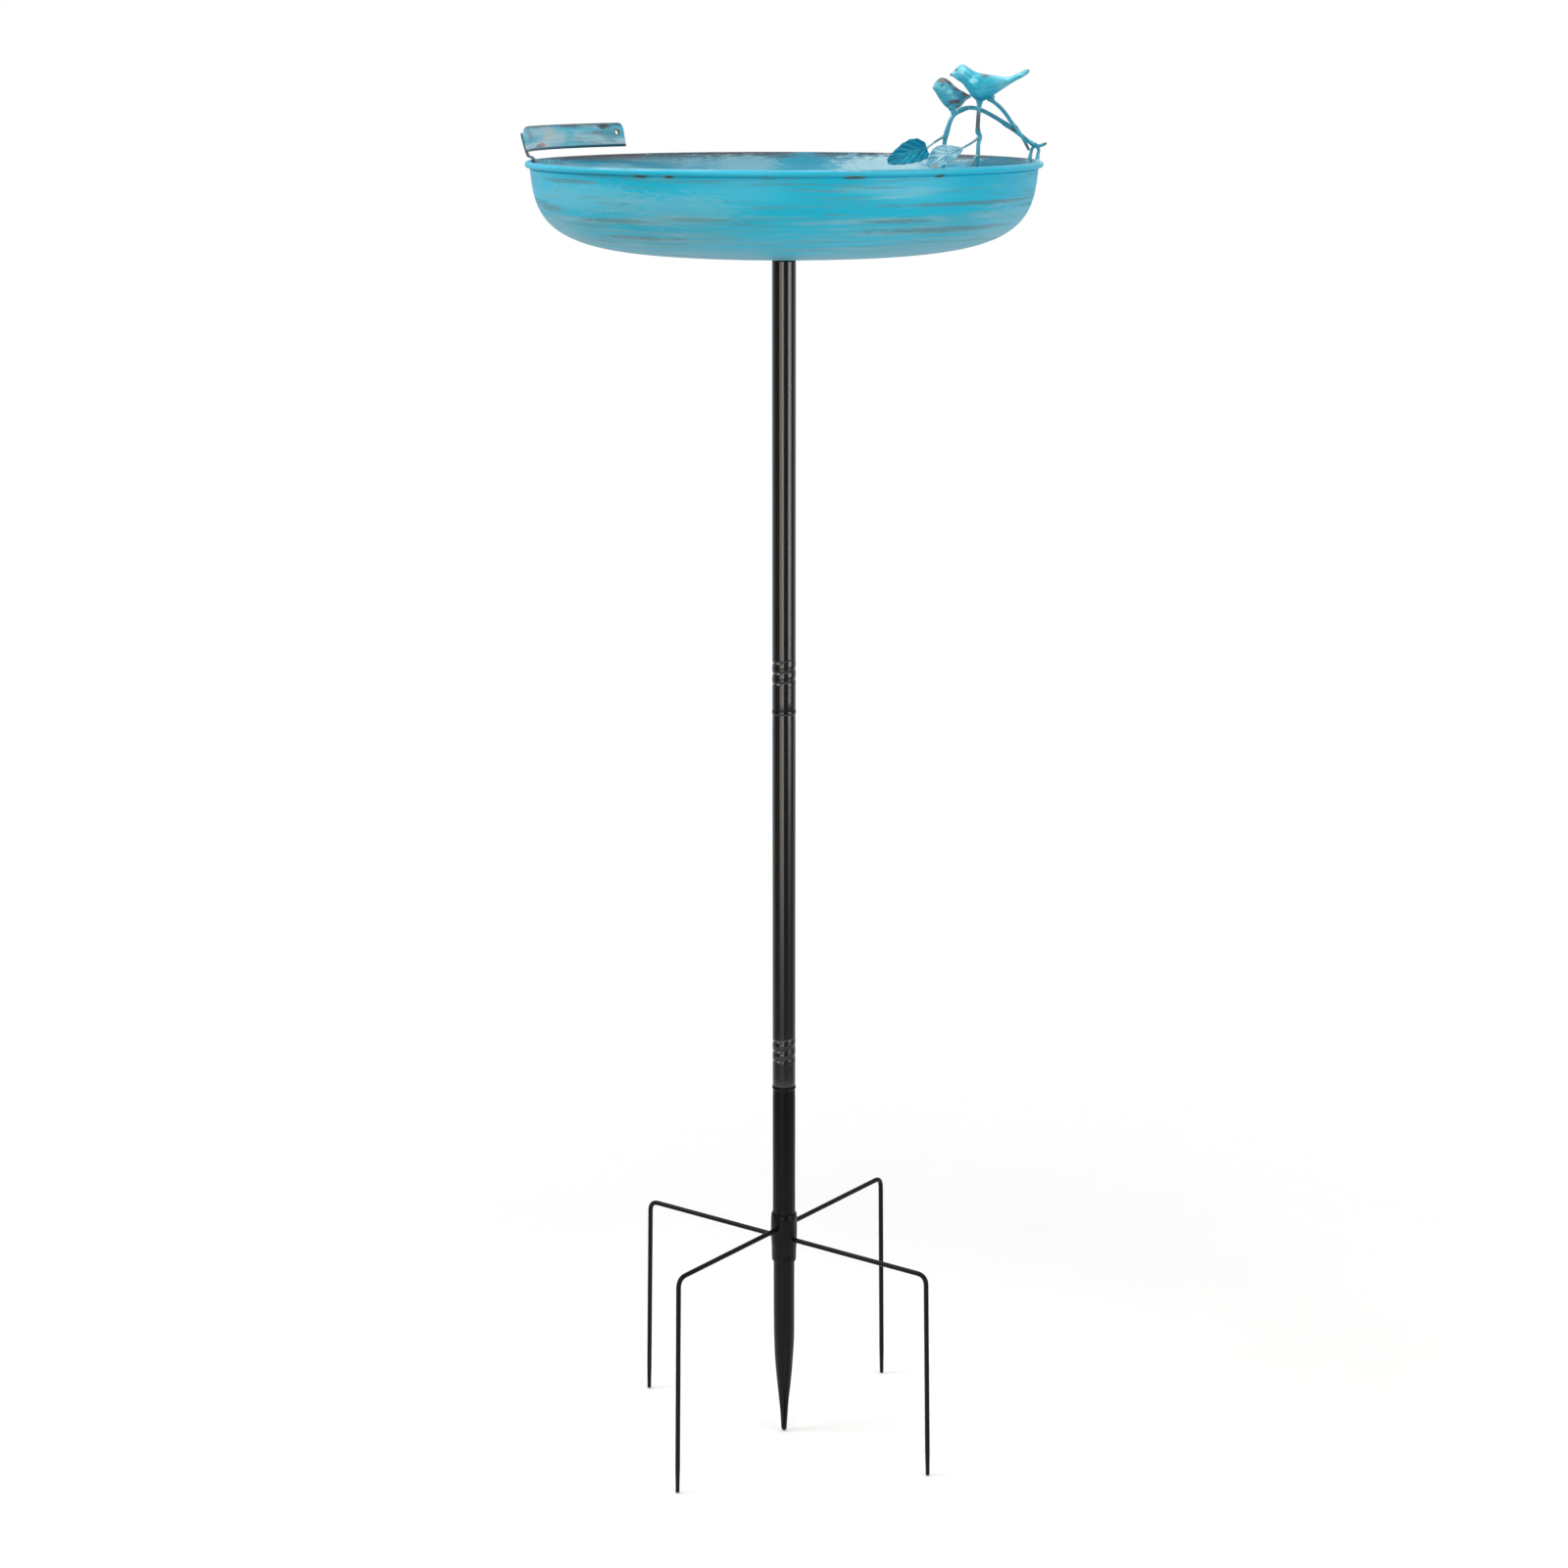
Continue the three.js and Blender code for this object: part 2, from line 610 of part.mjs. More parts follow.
function addBranches(parent) {
  const arch = [
    onFloor(-59, 13),
    at(-57, 14, -18),
    at(-55.8, 14.5, 8),
    at(-54, 14.5, 17),
    at(-50.6, 14.3, 25.6),
    at(-46.4, 13.8, 29),
    at(-41, 13.2, 30.9),
    at(-36, 12.5, 30.5),
    at(-31, 11, 28.6),
    at(-22.5, 8.5, 24),
    at(-14, 5.5, 18.3),
    at(-0.2, 0.5, 8.4),
  ];
  piece(parent, "arch_branch", wire(arch, BRANCH_RADIUS, 34), TEAL_COAT);

  const perch = [
    at(-26.4, 6.5, 35.2),
    at(-22, 5, 31.6),
    at(-17.8, 3.6, 26.8),
    at(-14.2, 2.2, 21.6),
    at(-9.7, 0, 16),
    at(-3.6, -1.4, 5.3),
  ];
  piece(parent, "perch_branch", wire(perch, BRANCH_RADIUS, 14), TEAL_COAT);

  const leg = [
    at(-34.4, 8, 34),
    at(-35.1, 7.6, 24),
    at(-35.1, 7, 16),
    at(-33.8, 6.6, 13.6),
    at(-34.8, 6, 9),
    at(-35.1, 5.4, 2),
    at(-36.5, 5, -10),
    onFloor(-38.5, 4),
  ];
  piece(parent, "perch_leg", wire(leg, BRANCH_RADIUS, 24), TEAL_COAT);

  const brace = [at(-37.6, 2.2, -0.5), at(-41.2, -0.5, -6), at(-46, -6, -22), onFloor(-49, -10)];
  piece(parent, "leg_brace", wire(brace, TWIG_RADIUS, 10), TEAL_COAT);

  const twig = [at(2.2, 1, 8), at(4.8, 1.4, 8.4), at(7.4, 1.8, 9.6)];
  piece(parent, "fork_twig", wire(twig, TWIG_RADIUS, 6), TEAL_COAT);

  const inside = (height) => {
    const radius = innerRadius(height) - TWIG_RADIUS - GAP;
    return polar(radius, ORNAMENT_AZIMUTH, height).sub(ornamentFoot);
  };
  const footInner = [at(-1.6, 0.2, 6.2), at(-2.9, -0.2, 0.6), inside(-7), inside(-18)];
  piece(parent, "rim_foot_inner", wire(footInner, TWIG_RADIUS, 10), TEAL_COAT);
  const footOuter = [at(2.5, 0.5, 5.4), at(2.1, 0.3, 3), at(1.7, 0.2, GAP)];
  piece(parent, "rim_foot_outer", wire(footOuter, TWIG_RADIUS, 4), TEAL_COAT);
}

// A leaf on a bowed midrib from base to tip. side points across it to the half that is low wide, the
// other half is high wide, lift raises the edges, and belly below 1 puts its widest place nearer
// the base.
function leaf({ base, tip, side, high, low, belly, lift, bow }) {
  const along = tip.clone().sub(base);
  const across = side.clone().normalize();
  const up = along.clone().cross(across).normalize();
  return (u, v) => {
    const fromBase = 0.04 + 0.92 * u;
    const outline = Math.sin(Math.PI * fromBase ** belly) ** 0.7;
    const reach = (2 * v - 1) * outline;
    const offset = reach * (reach > 0 ? low : high);
    const curl = lift * reach ** 2 + bow * Math.sin(Math.PI * u);
    return base
      .clone()
      .addScaledVector(along, u)
      .addScaledVector(across, offset)
      .addScaledVector(up, curl);
  };
}

function addLeaves(parent) {
  const darkLeaf = leaf({
    base: at(-67, 4, 5.9),
    tip: at(-92, -6, -1.6),
    side: at(4, -12, -12),
    high: 9,
    low: 11.5,
    belly: 0.65,
    lift: 2.2,
    bow: 1.2,
  });
  piece(parent, "leaf_left", sheet(darkLeaf, 12, 6, LEAF_THICKNESS), TEAL_COAT);
  const paleLeaf = leaf({
    base: at(-45.6, -2.6, 6.2),
    tip: at(-66.5, -14, -4.6),
    side: at(8, -10, -9),
    high: 9,
    low: 7,
    belly: 1.2,
    lift: 2,
    bow: 1,
  });
  piece(parent, "leaf_right", sheet(paleLeaf, 12, 6, LEAF_THICKNESS), PALE_COAT);

  const stemLeft = [at(-57.4, 12.6, 12.6), at(-62, 8.5, 10), at(-66.3, 4.6, 7.4)];
  piece(parent, "leaf_stem_left", wire(stemLeft, STEM_RADIUS, 6), TEAL_COAT);
  const stemRight = [at(-35.4, 4.8, 12.2), at(-40.2, 1, 9.2), at(-45, -2.2, 6.8)];
  piece(parent, "leaf_stem_right", wire(stemRight, STEM_RADIUS, 6), TEAL_COAT);
}

// A bird as rings along its length: each row is distance from the beak, height of the middle,
// half height and half width.
function birdBody(rows, sides = 14) {
  const rings = rows.map(([along, middle, halfHeight, halfWidth]) => {
    const ring = [];
    for (let side = 0; side < sides; side++) {
      const angle = (side * 2 * Math.PI) / sides;
      ring.push(at(along, halfWidth * Math.cos(angle), middle + halfHeight * Math.sin(angle)));
    }
    return ring;
  });
  return ringBody(rings);
}

const UPPER_BIRD = [
  [0, 0, 0.4, 0.4],
  [2.6, 0.6, 1.9, 1.8],
  [4.9, 1, 4, 3.7],
  [7.9, 1, 5.7, 5],
  [11.5, -2.4, 7, 6.1],
  [15.2, -5.4, 7.7, 7],
  [19.4, -7, 7.9, 7.2],
  [23.7, -6.9, 7.1, 6.5],
  [28.5, -6, 5.5, 5.1],
  [33.4, -4.8, 3.4, 3.6],
  [38.2, -3, 2, 2.7],
  [43, -0.6, 1.7, 2.6],
  [47.9, 1.8, 1.6, 2.7],
  [49.6, 2.4, 0.7, 1.5],
];

const LOWER_BIRD = [
  [0, 0, 0.4, 0.4],
  [2.7, 0.5, 3.3, 3],
  [6.2, -0.5, 6.5, 5.6],
  [10.3, -3.2, 8.1, 6.7],
  [14.5, -6, 7.5, 6.6],
  [19.2, -6.5, 5.2, 5.2],
  [23, -5.8, 2.6, 3.2],
  [27, -5.2, 1.1, 2.3],
];

function addBirds(parent) {
  const upper = new THREE.Group();
  upper.position.set(-53.3, 7, 50.9);
  piece(upper, "bird_upper", birdBody(UPPER_BIRD), TEAL_COAT);
  const lower = new THREE.Group();
  lower.position.set(-63.5, 12.5, 43);
  lower.rotation.z = radians(28);
  piece(lower, "bird_lower", birdBody(LOWER_BIRD), TEAL_COAT);
  parent.add(upper, lower);
}

// ---------------------------------------------------------------- the whole object

const birdBath = new THREE.Group();
addStake(birdBath);
addPole(birdBath);
addMounting(birdBath);

const dish = new THREE.Group();
dish.position.z = RIM;
addBowl(dish);
addBand(dish);
birdBath.add(dish);

const ornament = new THREE.Group();
ornament.position.copy(ornamentFoot);
addBranches(ornament);
addLeaves(ornament);
addBirds(ornament);
dish.add(ornament);

export default birdBath;
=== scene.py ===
"""Looks of a painted bird bath on a three-section screw-together pole.

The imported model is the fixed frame. Every piece that shows is built here as a fine mesh, in metres, in
the frame's own coordinates, and stands for the plain solid of the same sub-part.
"""

import json
import logging
import math
from dataclasses import dataclass, replace
from enum import Enum
from typing import Callable, Mapping, Sequence, Union

import bmesh
import bpy
from mathutils import Matrix, Vector, noise


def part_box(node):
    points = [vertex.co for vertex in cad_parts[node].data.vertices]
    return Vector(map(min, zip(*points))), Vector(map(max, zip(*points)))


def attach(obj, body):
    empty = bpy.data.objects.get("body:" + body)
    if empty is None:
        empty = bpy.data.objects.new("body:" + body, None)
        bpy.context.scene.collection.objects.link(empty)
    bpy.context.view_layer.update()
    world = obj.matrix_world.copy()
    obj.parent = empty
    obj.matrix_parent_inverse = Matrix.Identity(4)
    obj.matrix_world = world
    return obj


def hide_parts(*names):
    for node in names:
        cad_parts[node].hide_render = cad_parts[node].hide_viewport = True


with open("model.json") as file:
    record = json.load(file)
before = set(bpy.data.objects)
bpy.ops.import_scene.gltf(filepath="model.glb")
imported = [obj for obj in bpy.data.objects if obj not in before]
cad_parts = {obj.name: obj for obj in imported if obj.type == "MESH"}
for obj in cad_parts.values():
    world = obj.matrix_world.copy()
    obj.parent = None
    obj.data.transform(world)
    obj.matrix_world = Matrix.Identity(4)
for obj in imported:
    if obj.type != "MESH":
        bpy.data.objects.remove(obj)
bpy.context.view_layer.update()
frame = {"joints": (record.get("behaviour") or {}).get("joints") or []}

MM = 0.001
FULL_TURN = 2 * math.pi
TINY = 1e-9

CURVE_STEPS = 24  # points on each stretch of a smooth curve before they are evened out
CURVE_KNOTS = (((0, 1), (1, 2), (2, 3)), ((0, 2), (1, 3)), ((1, 2),))  # each blend's knots, by level
GRIT = 170  # bumps in a metre on the skin of a drawn wire
SOFT_CREASE = 42.0  # degrees above which an edge of turned or drawn metal stays sharp
CUT_CREASE = 50.0  # the same on a punched piece
SHEET_CREASE = 60.0  # the same on a sheet
BAR_END = ((0.55, 0.0), (0.94, 0.3))  # size and setback, in radii, of the last two rings of a bar
SHEET_EDGE = (0.45, 0.85, 1.0)  # share of a sheet's thickness at its edge and on the rows behind it
EVERYWHERE = (9.0, 9.0, 9.0)  # size of a patch of paint that takes in a whole piece

log = logging.getLogger("bird_bath")

Pair = tuple[float, float]
Triple = tuple[float, float, float]
Profile = list[Pair]
Bend = Callable[[float, float, float], Pair]
Piece = bpy.types.Object
Socket = bpy.types.NodeSocket
Link = Union["Value", Socket]
Setting = Union[Link, float, str, tuple, Vector]


class Body(Enum):
    """The bodies of the frame that pieces ride on."""

    STAKE = "stake"
    MIDDLE = "middle_section"
    UPPER = "upper_section"
    DISH = "dish"


class Slot(Enum):
    """The record's material slots."""

    BLACK = "black_coat"
    BLUE = "blue_coat"
    TEAL = "teal_coat"
    PALE = "pale_coat"
    ZINC = "zinc"
    RUBBER = "rubber"


# ---------------------------------------------------------------- small geometry helpers


def polar(radius: float, degrees: float, z: float = 0.0) -> Vector:
    """A point at a distance and a bearing from the Z axis.

    Args:
        radius: distance from the axis.
        degrees: bearing from +X towards +Y.
        z: height.

    Returns:
        The point.
    """
    angle = math.radians(degrees)
    return Vector((radius * math.cos(angle), radius * math.sin(angle), z))


def blend(low: float, high: float, share: float) -> float:
    """The value at a share of the way from low to high."""
    return low + (high - low) * share


def smooth_step(low: float, high: float, value: float) -> float:
    """How far value has passed from low to high, from 0 to 1, eased at both ends.

    Args:
        low: where the step starts.
        high: where it ends.
        value: the place asked for.

    Returns:
        The eased share.
    """
    share = min(max((value - low) / (high - low), 0.0), 1.0)
    return share * share * (3 - 2 * share)


def wobble(point: Vector, scale: float, seed: float) -> float:
    """Smooth noise between about -1 and 1 at a point, for the irregularity of hand work.

    Args:
        point: the place, in metres.
        scale: features in a metre.
        seed: shifts the pattern.

    Returns:
        The noise.
    """
    return noise.noise(point * scale + Vector((seed, -seed, 2 * seed)))


def cubic(points: Sequence[Sequence[float]], share: float) -> Pair:
    """A point on a flat cubic Bezier curve.

    Args:
        points: its four control points.
        share: the place along it, from 0 to 1.

    Returns:
        The point as two numbers.
    """
    rest = 1 - share
    weights = (rest**3, 3 * rest**2 * share, 3 * rest * share**2, share**3)
    x = sum(weight * point[0] for weight, point in zip(weights, points))
    y = sum(weight * point[1] for weight, point in zip(weights, points))
    return x, y


def arc(centre: Pair, radius: float, start: float, end: float, steps: int) -> Profile:
    """Points round part of a circle.

    Args:
        centre: its centre.
        radius: its radius.
        start: first bearing in degrees.
        end: last bearing in degrees.
        steps: spans between the points.

    Returns:
        The points, first and last included.
    """
    made = []
    for step in range(steps + 1):
        angle = math.radians(blend(start, end, step / steps))
        made.append((centre[0] + radius * math.cos(angle), centre[1] + radius * math.sin(angle)))
    return made


def through(points: Sequence[Vector], count: int) -> list[Vector]:
    """Evenly spaced points on a smooth centripetal curve through a few chosen ones.

    Args:
        points: the points that the curve passes.
        count: spans wanted along it.

    Returns:
        count + 1 points.
    """
    ends = [2 * points[0] - points[1], *points, 2 * points[-1] - points[-2]]
    dense: list[Vector] = []
    for i in range(1, len(ends) - 2):
        quad = ends[i - 1 : i + 3]
        knots = [0.0]
        for a, b in zip(quad, quad[1:]):
            knots.append(knots[-1] + max((b - a).length ** 0.5, TINY))
        for step in range(CURVE_STEPS):
            dense.append(centripetal(quad, knots, blend(knots[1], knots[2], step / CURVE_STEPS)))
    dense.append(points[-1].copy())
    return evenly(dense, count)


def centripetal(quad: Sequence[Vector], knots: Sequence[float], at: float) -> Vector:
    """A point on the middle span of a Catmull-Rom curve with uneven knots.

    Args:
        quad: four neighbouring points.
        knots: their four knots.
        at: the knot value wanted.

    Returns:
        The point.
    """
    level = list(quad)
    for spans in CURVE_KNOTS:
        level = [
            level[i].lerp(level[i + 1], (at - knots[low]) / (knots[high] - knots[low]))
            for i, (low, high) in enumerate(spans)
        ]
    return level[0]


def evenly(points: Sequence[Vector], count: int) -> list[Vector]:
    """The same line with its points evenly spaced.

    Args:
        points: the line.
        count: spans wanted.

    Returns:
        count + 1 points.
    """
    reach = [0.0]
    for a, b in zip(points, points[1:]):
        reach.append(reach[-1] + (b - a).length)
    made = []
    at = 0
    for step in range(count + 1):
        wanted = reach[-1] * step / count
        while at < len(points) - 2 and reach[at + 1] < wanted:
            at += 1
        span = max(reach[at + 1] - reach[at], TINY)
        made.append(points[at].lerp(points[at + 1], (wanted - reach[at]) / span))
    return made


# ---------------------------------------------------------------- mesh makers


def as_object(name: str, points: Sequence[Vector], faces: Sequence[Sequence[int]],
              crease: float = SOFT_CREASE) -> Piece:
    """A smooth-shaded object from points and faces, with its faces turned outwards.

    Args:
        name: the object's name.
        points: vertices in metres.
        faces: vertex numbers of each face.
        crease: angle in degrees above which an edge stays sharp.

    Returns:
        The object, linked to the scene.
    """
    mesh = bpy.data.meshes.new(name)
    mesh.from_pydata([tuple(point) for point in points], [], [tuple(face) for face in faces])
    shell = bmesh.new()
    shell.from_mesh(mesh)
    bmesh.ops.recalc_face_normals(shell, faces=shell.faces)
    shell.to_mesh(mesh)
    shell.free()
    mesh.shade_smooth()
    mesh.set_sharp_from_angle(angle=math.radians(crease))
    made = bpy.data.objects.new(name, mesh)
    bpy.context.scene.collection.objects.link(made)
    return made


def lathe(name: str, profile: Profile, sides: int,
          shape: Bend | None = None) -> Piece:
    """A body turned about the Z axis.

    Args:
        name: the object's name.
        profile: radius and height pairs; it closes on itself unless it starts and ends on the axis.
        sides: points round the turn.
        shape: moves a point, given its bearing in radians, radius and height, to a new radius and height.

    Returns:
        The object.
    """
    points: list[Vector] = []
    rings: list[list[int]] = []
    for radius, z in profile:
        count = 1 if radius < TINY else sides
        rings.append(list(range(len(points), len(points) + count)))
        for side in range(count):
            bearing = FULL_TURN * side / sides
            r, height = shape(bearing, radius, z) if shape else (radius, z)
            points.append(Vector((r * math.cos(bearing), r * math.sin(bearing), height)))
    on_axis = profile[0][0] < TINY and profile[-1][0] < TINY
    pairs = list(zip(rings, rings[1:])) + ([] if on_axis else [(rings[-1], rings[0])])
    faces = [face for lower, upper in pairs for face in band(lower, upper)]
    return as_object(name, points, faces)


def band(lower: Sequence[int], upper: Sequence[int]) -> list[tuple[int, ...]]:
    """Faces between two rings of vertices, either of which may be a single point on the axis.

    Args:
        lower: vertex numbers of one ring.
        upper: vertex numbers of the next.

    Returns:
        The faces.
    """
    count = max(len(lower), len(upper))
    faces: list[tuple[int, ...]] = []
    for i in range(count):
        j = (i + 1) % count
        below = [lower[i % len(lower)], lower[j % len(lower)]]
        above = [upper[j % len(upper)], upper[i % len(upper)]]
        faces.append(tuple(dict.fromkeys(below + above)))
    return [face for face in faces if len(face) > 2]


def skin(rings: Sequence[Sequence[Vector]]) -> tuple[list[Vector], list[list[int]], list[tuple[int, ...]]]:
    """The open skin through rings of points with as many points each.

    Args:
        rings: the rings in order.

    Returns:
        The points, their numbers ring by ring, and the faces between the rings.
    """
    count = len(rings[0])
    points = [point for ring in rings for point in ring]
    numbers = [list(range(row * count, (row + 1) * count)) for row in range(len(rings))]
    faces = [face for lower, upper in zip(numbers, numbers[1:]) for face in band(lower, upper)]
    return points, numbers, faces


def loft(name: str, rings: Sequence[Sequence[Vector]]) -> Piece:
    """A closed body through rings of points, with flat ends.

    Args:
        name: the object's name.
        rings: the rings in order.

    Returns:
        The object.
    """
    points, numbers, faces = skin(rings)
    return as_object(name, points, faces + [tuple(numbers[0]), tuple(reversed(numbers[-1]))])


def sweep(name: str, path: Sequence[Vector], radius: Callable[[float], float],
          sides: int = 16, roughen: float = 0.0) -> Piece:
    """A round bar along a path, with softly rounded ends.

    Args:
        name: the object's name.
        path: its centre line.
        radius: gives the radius at a share of the path.
        sides: points round the section.
        roughen: how far, as a share of the radius, its surface strays from round.

    Returns:
        The object.
    """
    last = len(path) - 1
    tangents = [(path[min(i + 1, last)] - path[max(i - 1, 0)]).normalized() for i in range(last + 1)]
    side = tangents[0].orthogonal().normalized()
    rings = []
    for i, (centre, along) in enumerate(zip(path, tangents)):
        side = (side - along * side.dot(along)).normalized()
        up = along.cross(side)
        near = radius(i / last)
        ring = []
        for step in range(sides):
            angle = FULL_TURN * step / sides
            out = side * math.cos(angle) + up * math.sin(angle)
            stray = 1 + roughen * wobble(centre + out * near, GRIT, seed=3.1)
            ring.append(centre + out * near * stray)
        rings.append(ring)
    rounded = [end_ring(rings[0], path[0], tangents[0], radius(0), step) for step in (0, 1)]
    rounded += rings[1:-1]
    rounded += [end_ring(rings[-1], path[-1], -tangents[-1], radius(1), step) for step in (1, 0)]
    return loft(name, rounded)


def end_ring(ring: Sequence[Vector], centre: Vector, inward: Vector, radius: float,
             step: int) -> list[Vector]:
    """One of the two rings that round off a bar's end.

    Args:
        ring: the section at the end.
        centre: its centre.
        inward: direction into the bar.
        radius: the bar's radius there.
        step: 0 for the small ring at the very end, 1 for the fuller one behind it.

    Returns:
        The ring.
    """
    share, back = BAR_END[step]
    return [centre + (point - centre) * share + inward * radius * back for point in ring]


def sheet(name: str, surface: Callable[[float, float], Vector], columns: int, rows: int,
          thickness: float) -> Piece:
    """A thin sheet of metal with rounded edges.

    Args:
        name: the object's name.
        surface: its middle at a share along and a share across.
        columns: spans along.
        rows: spans across.
        thickness: of the sheet.

    Returns:
        The object.
    """
    nudge = 1e-3
    rings = []
    for column in range(columns + 1):
        u = column / columns
        front: list[Vector] = []
        back: list[Vector] = []
        for row in range(rows + 1):
            v = row / rows
            along = surface(min(u + nudge, 1), v) - surface(max(u - nudge, 0), v)
            across = surface(u, min(v + nudge, 1)) - surface(u, max(v - nudge, 0))
            edge = min(column, columns - column, row, rows - row)
            half = thickness / 2 * SHEET_EDGE[min(edge, len(SHEET_EDGE) - 1)]
            normal = along.cross(across).normalized() * half
            front.append(surface(u, v) + normal)
            back.insert(0, surface(u, v) - normal)
        rings.append(front + back)
    points, numbers, faces = skin(rings)
    last = 2 * rows + 1
    for ring in (numbers[0], numbers[-1]):
        for i in range(rows):
            faces.append((ring[i], ring[i + 1], ring[last - 1 - i], ring[last - i]))
    return as_object(name, points, faces, SHEET_CREASE)


def fuse(name: str, parts: Sequence[Piece], voxel: float, rounds: int) -> Piece:
    """One cast or welded body from several that run into each other.

    Args:
        name: the new object's name.
        parts: the bodies, which are used up.
        voxel: the finest detail kept.
        rounds: how often the skin is smoothed.

    Returns:
        The fused object.
    """
    whole = bmesh.new()
    for part in parts:
        part.data.transform(part.matrix_world)
        whole.from_mesh(part.data)
        bpy.data.objects.remove(part)
    mesh = bpy.data.meshes.new(name)
    whole.to_mesh(mesh)
    whole.free()
    made = bpy.data.objects.new(name, mesh)
    bpy.context.scene.collection.objects.link(made)
    remesh = made.modifiers.new("cast", "REMESH")
    remesh.mode = "VOXEL"
    remesh.voxel_size = voxel
    soften = made.modifiers.new("soften", "SMOOTH")
    soften.iterations = rounds
    soften.factor = 0.5
    settle(made)
    made.data.shade_smooth()
    return made


def settle(piece: Piece) -> None:
    """Turn a piece's modifiers into its mesh.

    Args:
        piece: the piece.
    """
    bpy.context.view_layer.update()
    final = bpy.data.meshes.new_from_object(piece.evaluated_get(bpy.context.evaluated_depsgraph_get()))
    piece.modifiers.clear()
    piece.data = final


def punch(piece: Piece, tool: Piece) -> None:
    """Cut a tool out of a piece and remove the tool.

    Args:
        piece: the body that is cut.
        tool: the body that cuts.
    """
    cut = piece.modifiers.new("hole", "BOOLEAN")
    cut.operation = "DIFFERENCE"
    cut.solver = "EXACT"
    cut.object = tool
    settle(piece)
    bpy.data.objects.remove(tool)
    piece.data.shade_smooth()
    piece.data.set_sharp_from_angle(angle=math.radians(CUT_CREASE))


def place(piece: Piece, body: Body, slot: Slot, node: str,
          *looks: bpy.types.Material) -> Piece:
    """Dress a piece, let it ride on its body and stand for its plain solid.

    Args:
        piece: the finished mesh.
        body: the body that it moves with.
        slot: the record's finish; not used.
        node: the solid that it stands for.
        looks: its materials, in the order of its material numbers.

    Returns:
        The piece.
    """
    for look in looks:
        piece.data.materials.append(look)
    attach(piece, body.value)
    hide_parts(node)
    log.info("%s: %d faces, on %s, for %s", piece.name, len(piece.data.polygons), body.value, node)
    return piece


# ---------------------------------------------------------------- shader graph


class Value:
    """A number in a shader, on which Python's operators add Math nodes."""

    def __init__(self, graph: "Graph", socket: Socket) -> None:
        """Wrap a socket of a graph."""
        self.graph = graph
        self.socket = socket

    def maths(self, operation: str, *others: Setting) -> "Value":
        """This value and others through one Math node.

        Args:
            operation: the node's operation.
            others: its second and third values.

        Returns:
            The result.
        """
        inputs = dict(enumerate((self, *others)))
        return self.graph.value("ShaderNodeMath", {"operation": operation}, inputs)

    def __add__(self, other: Setting) -> "Value":
        """The sum."""
        return self.maths("ADD", other)

    def __radd__(self, other: Setting) -> "Value":
        """The sum, with this value on the right."""
        return self.maths("ADD", other)

    def __mul__(self, other: Setting) -> "Value":
        """The product."""
        return self.maths("MULTIPLY", other)

    def __rmul__(self, other: Setting) -> "Value":
        """The product, with this value on the right."""
        return self.maths("MULTIPLY", other)

    def __sub__(self, other: Setting) -> "Value":
        """The difference."""
        return self.maths("SUBTRACT", other)

    def __rsub__(self, other: float) -> "Value":
        """A number less this value."""
        return self.graph.value("ShaderNodeMath", {"operation": "SUBTRACT"}, {0: other, 1: self})

    def __pow__(self, power: float) -> "Value":
        """This value to a power."""
        return self.maths("POWER", power)

    def step(self, low: float, high: float) -> "Value":
        """An eased step from 0 at low to 1 at high.

        Args:
            low: where the step starts.
            high: where it ends.

        Returns:
            The eased share.
        """
        settings = {"interpolation_type": "SMOOTHSTEP"}
        inputs = {"Value": self, "From Min": low, "From Max": high}
        return self.graph.value("ShaderNodeMapRange", settings, inputs)


def linear(code: str) -> tuple[float, float, float, float]:
    """A screen colour such as #40a0c0 as the linear colour that a shader takes.

    Args:
        code: six hexadecimal digits after a hash.

    Returns:
        Red, green, blue and an alpha of 1.
    """
    made = []
    for start in (1, 3, 5):
        part = int(code[start : start + 2], 16) / 255
        made.append(part / 12.92 if part <= 0.04045 else ((part + 0.055) / 1.055) ** 2.4)
    return (*made, 1.0)


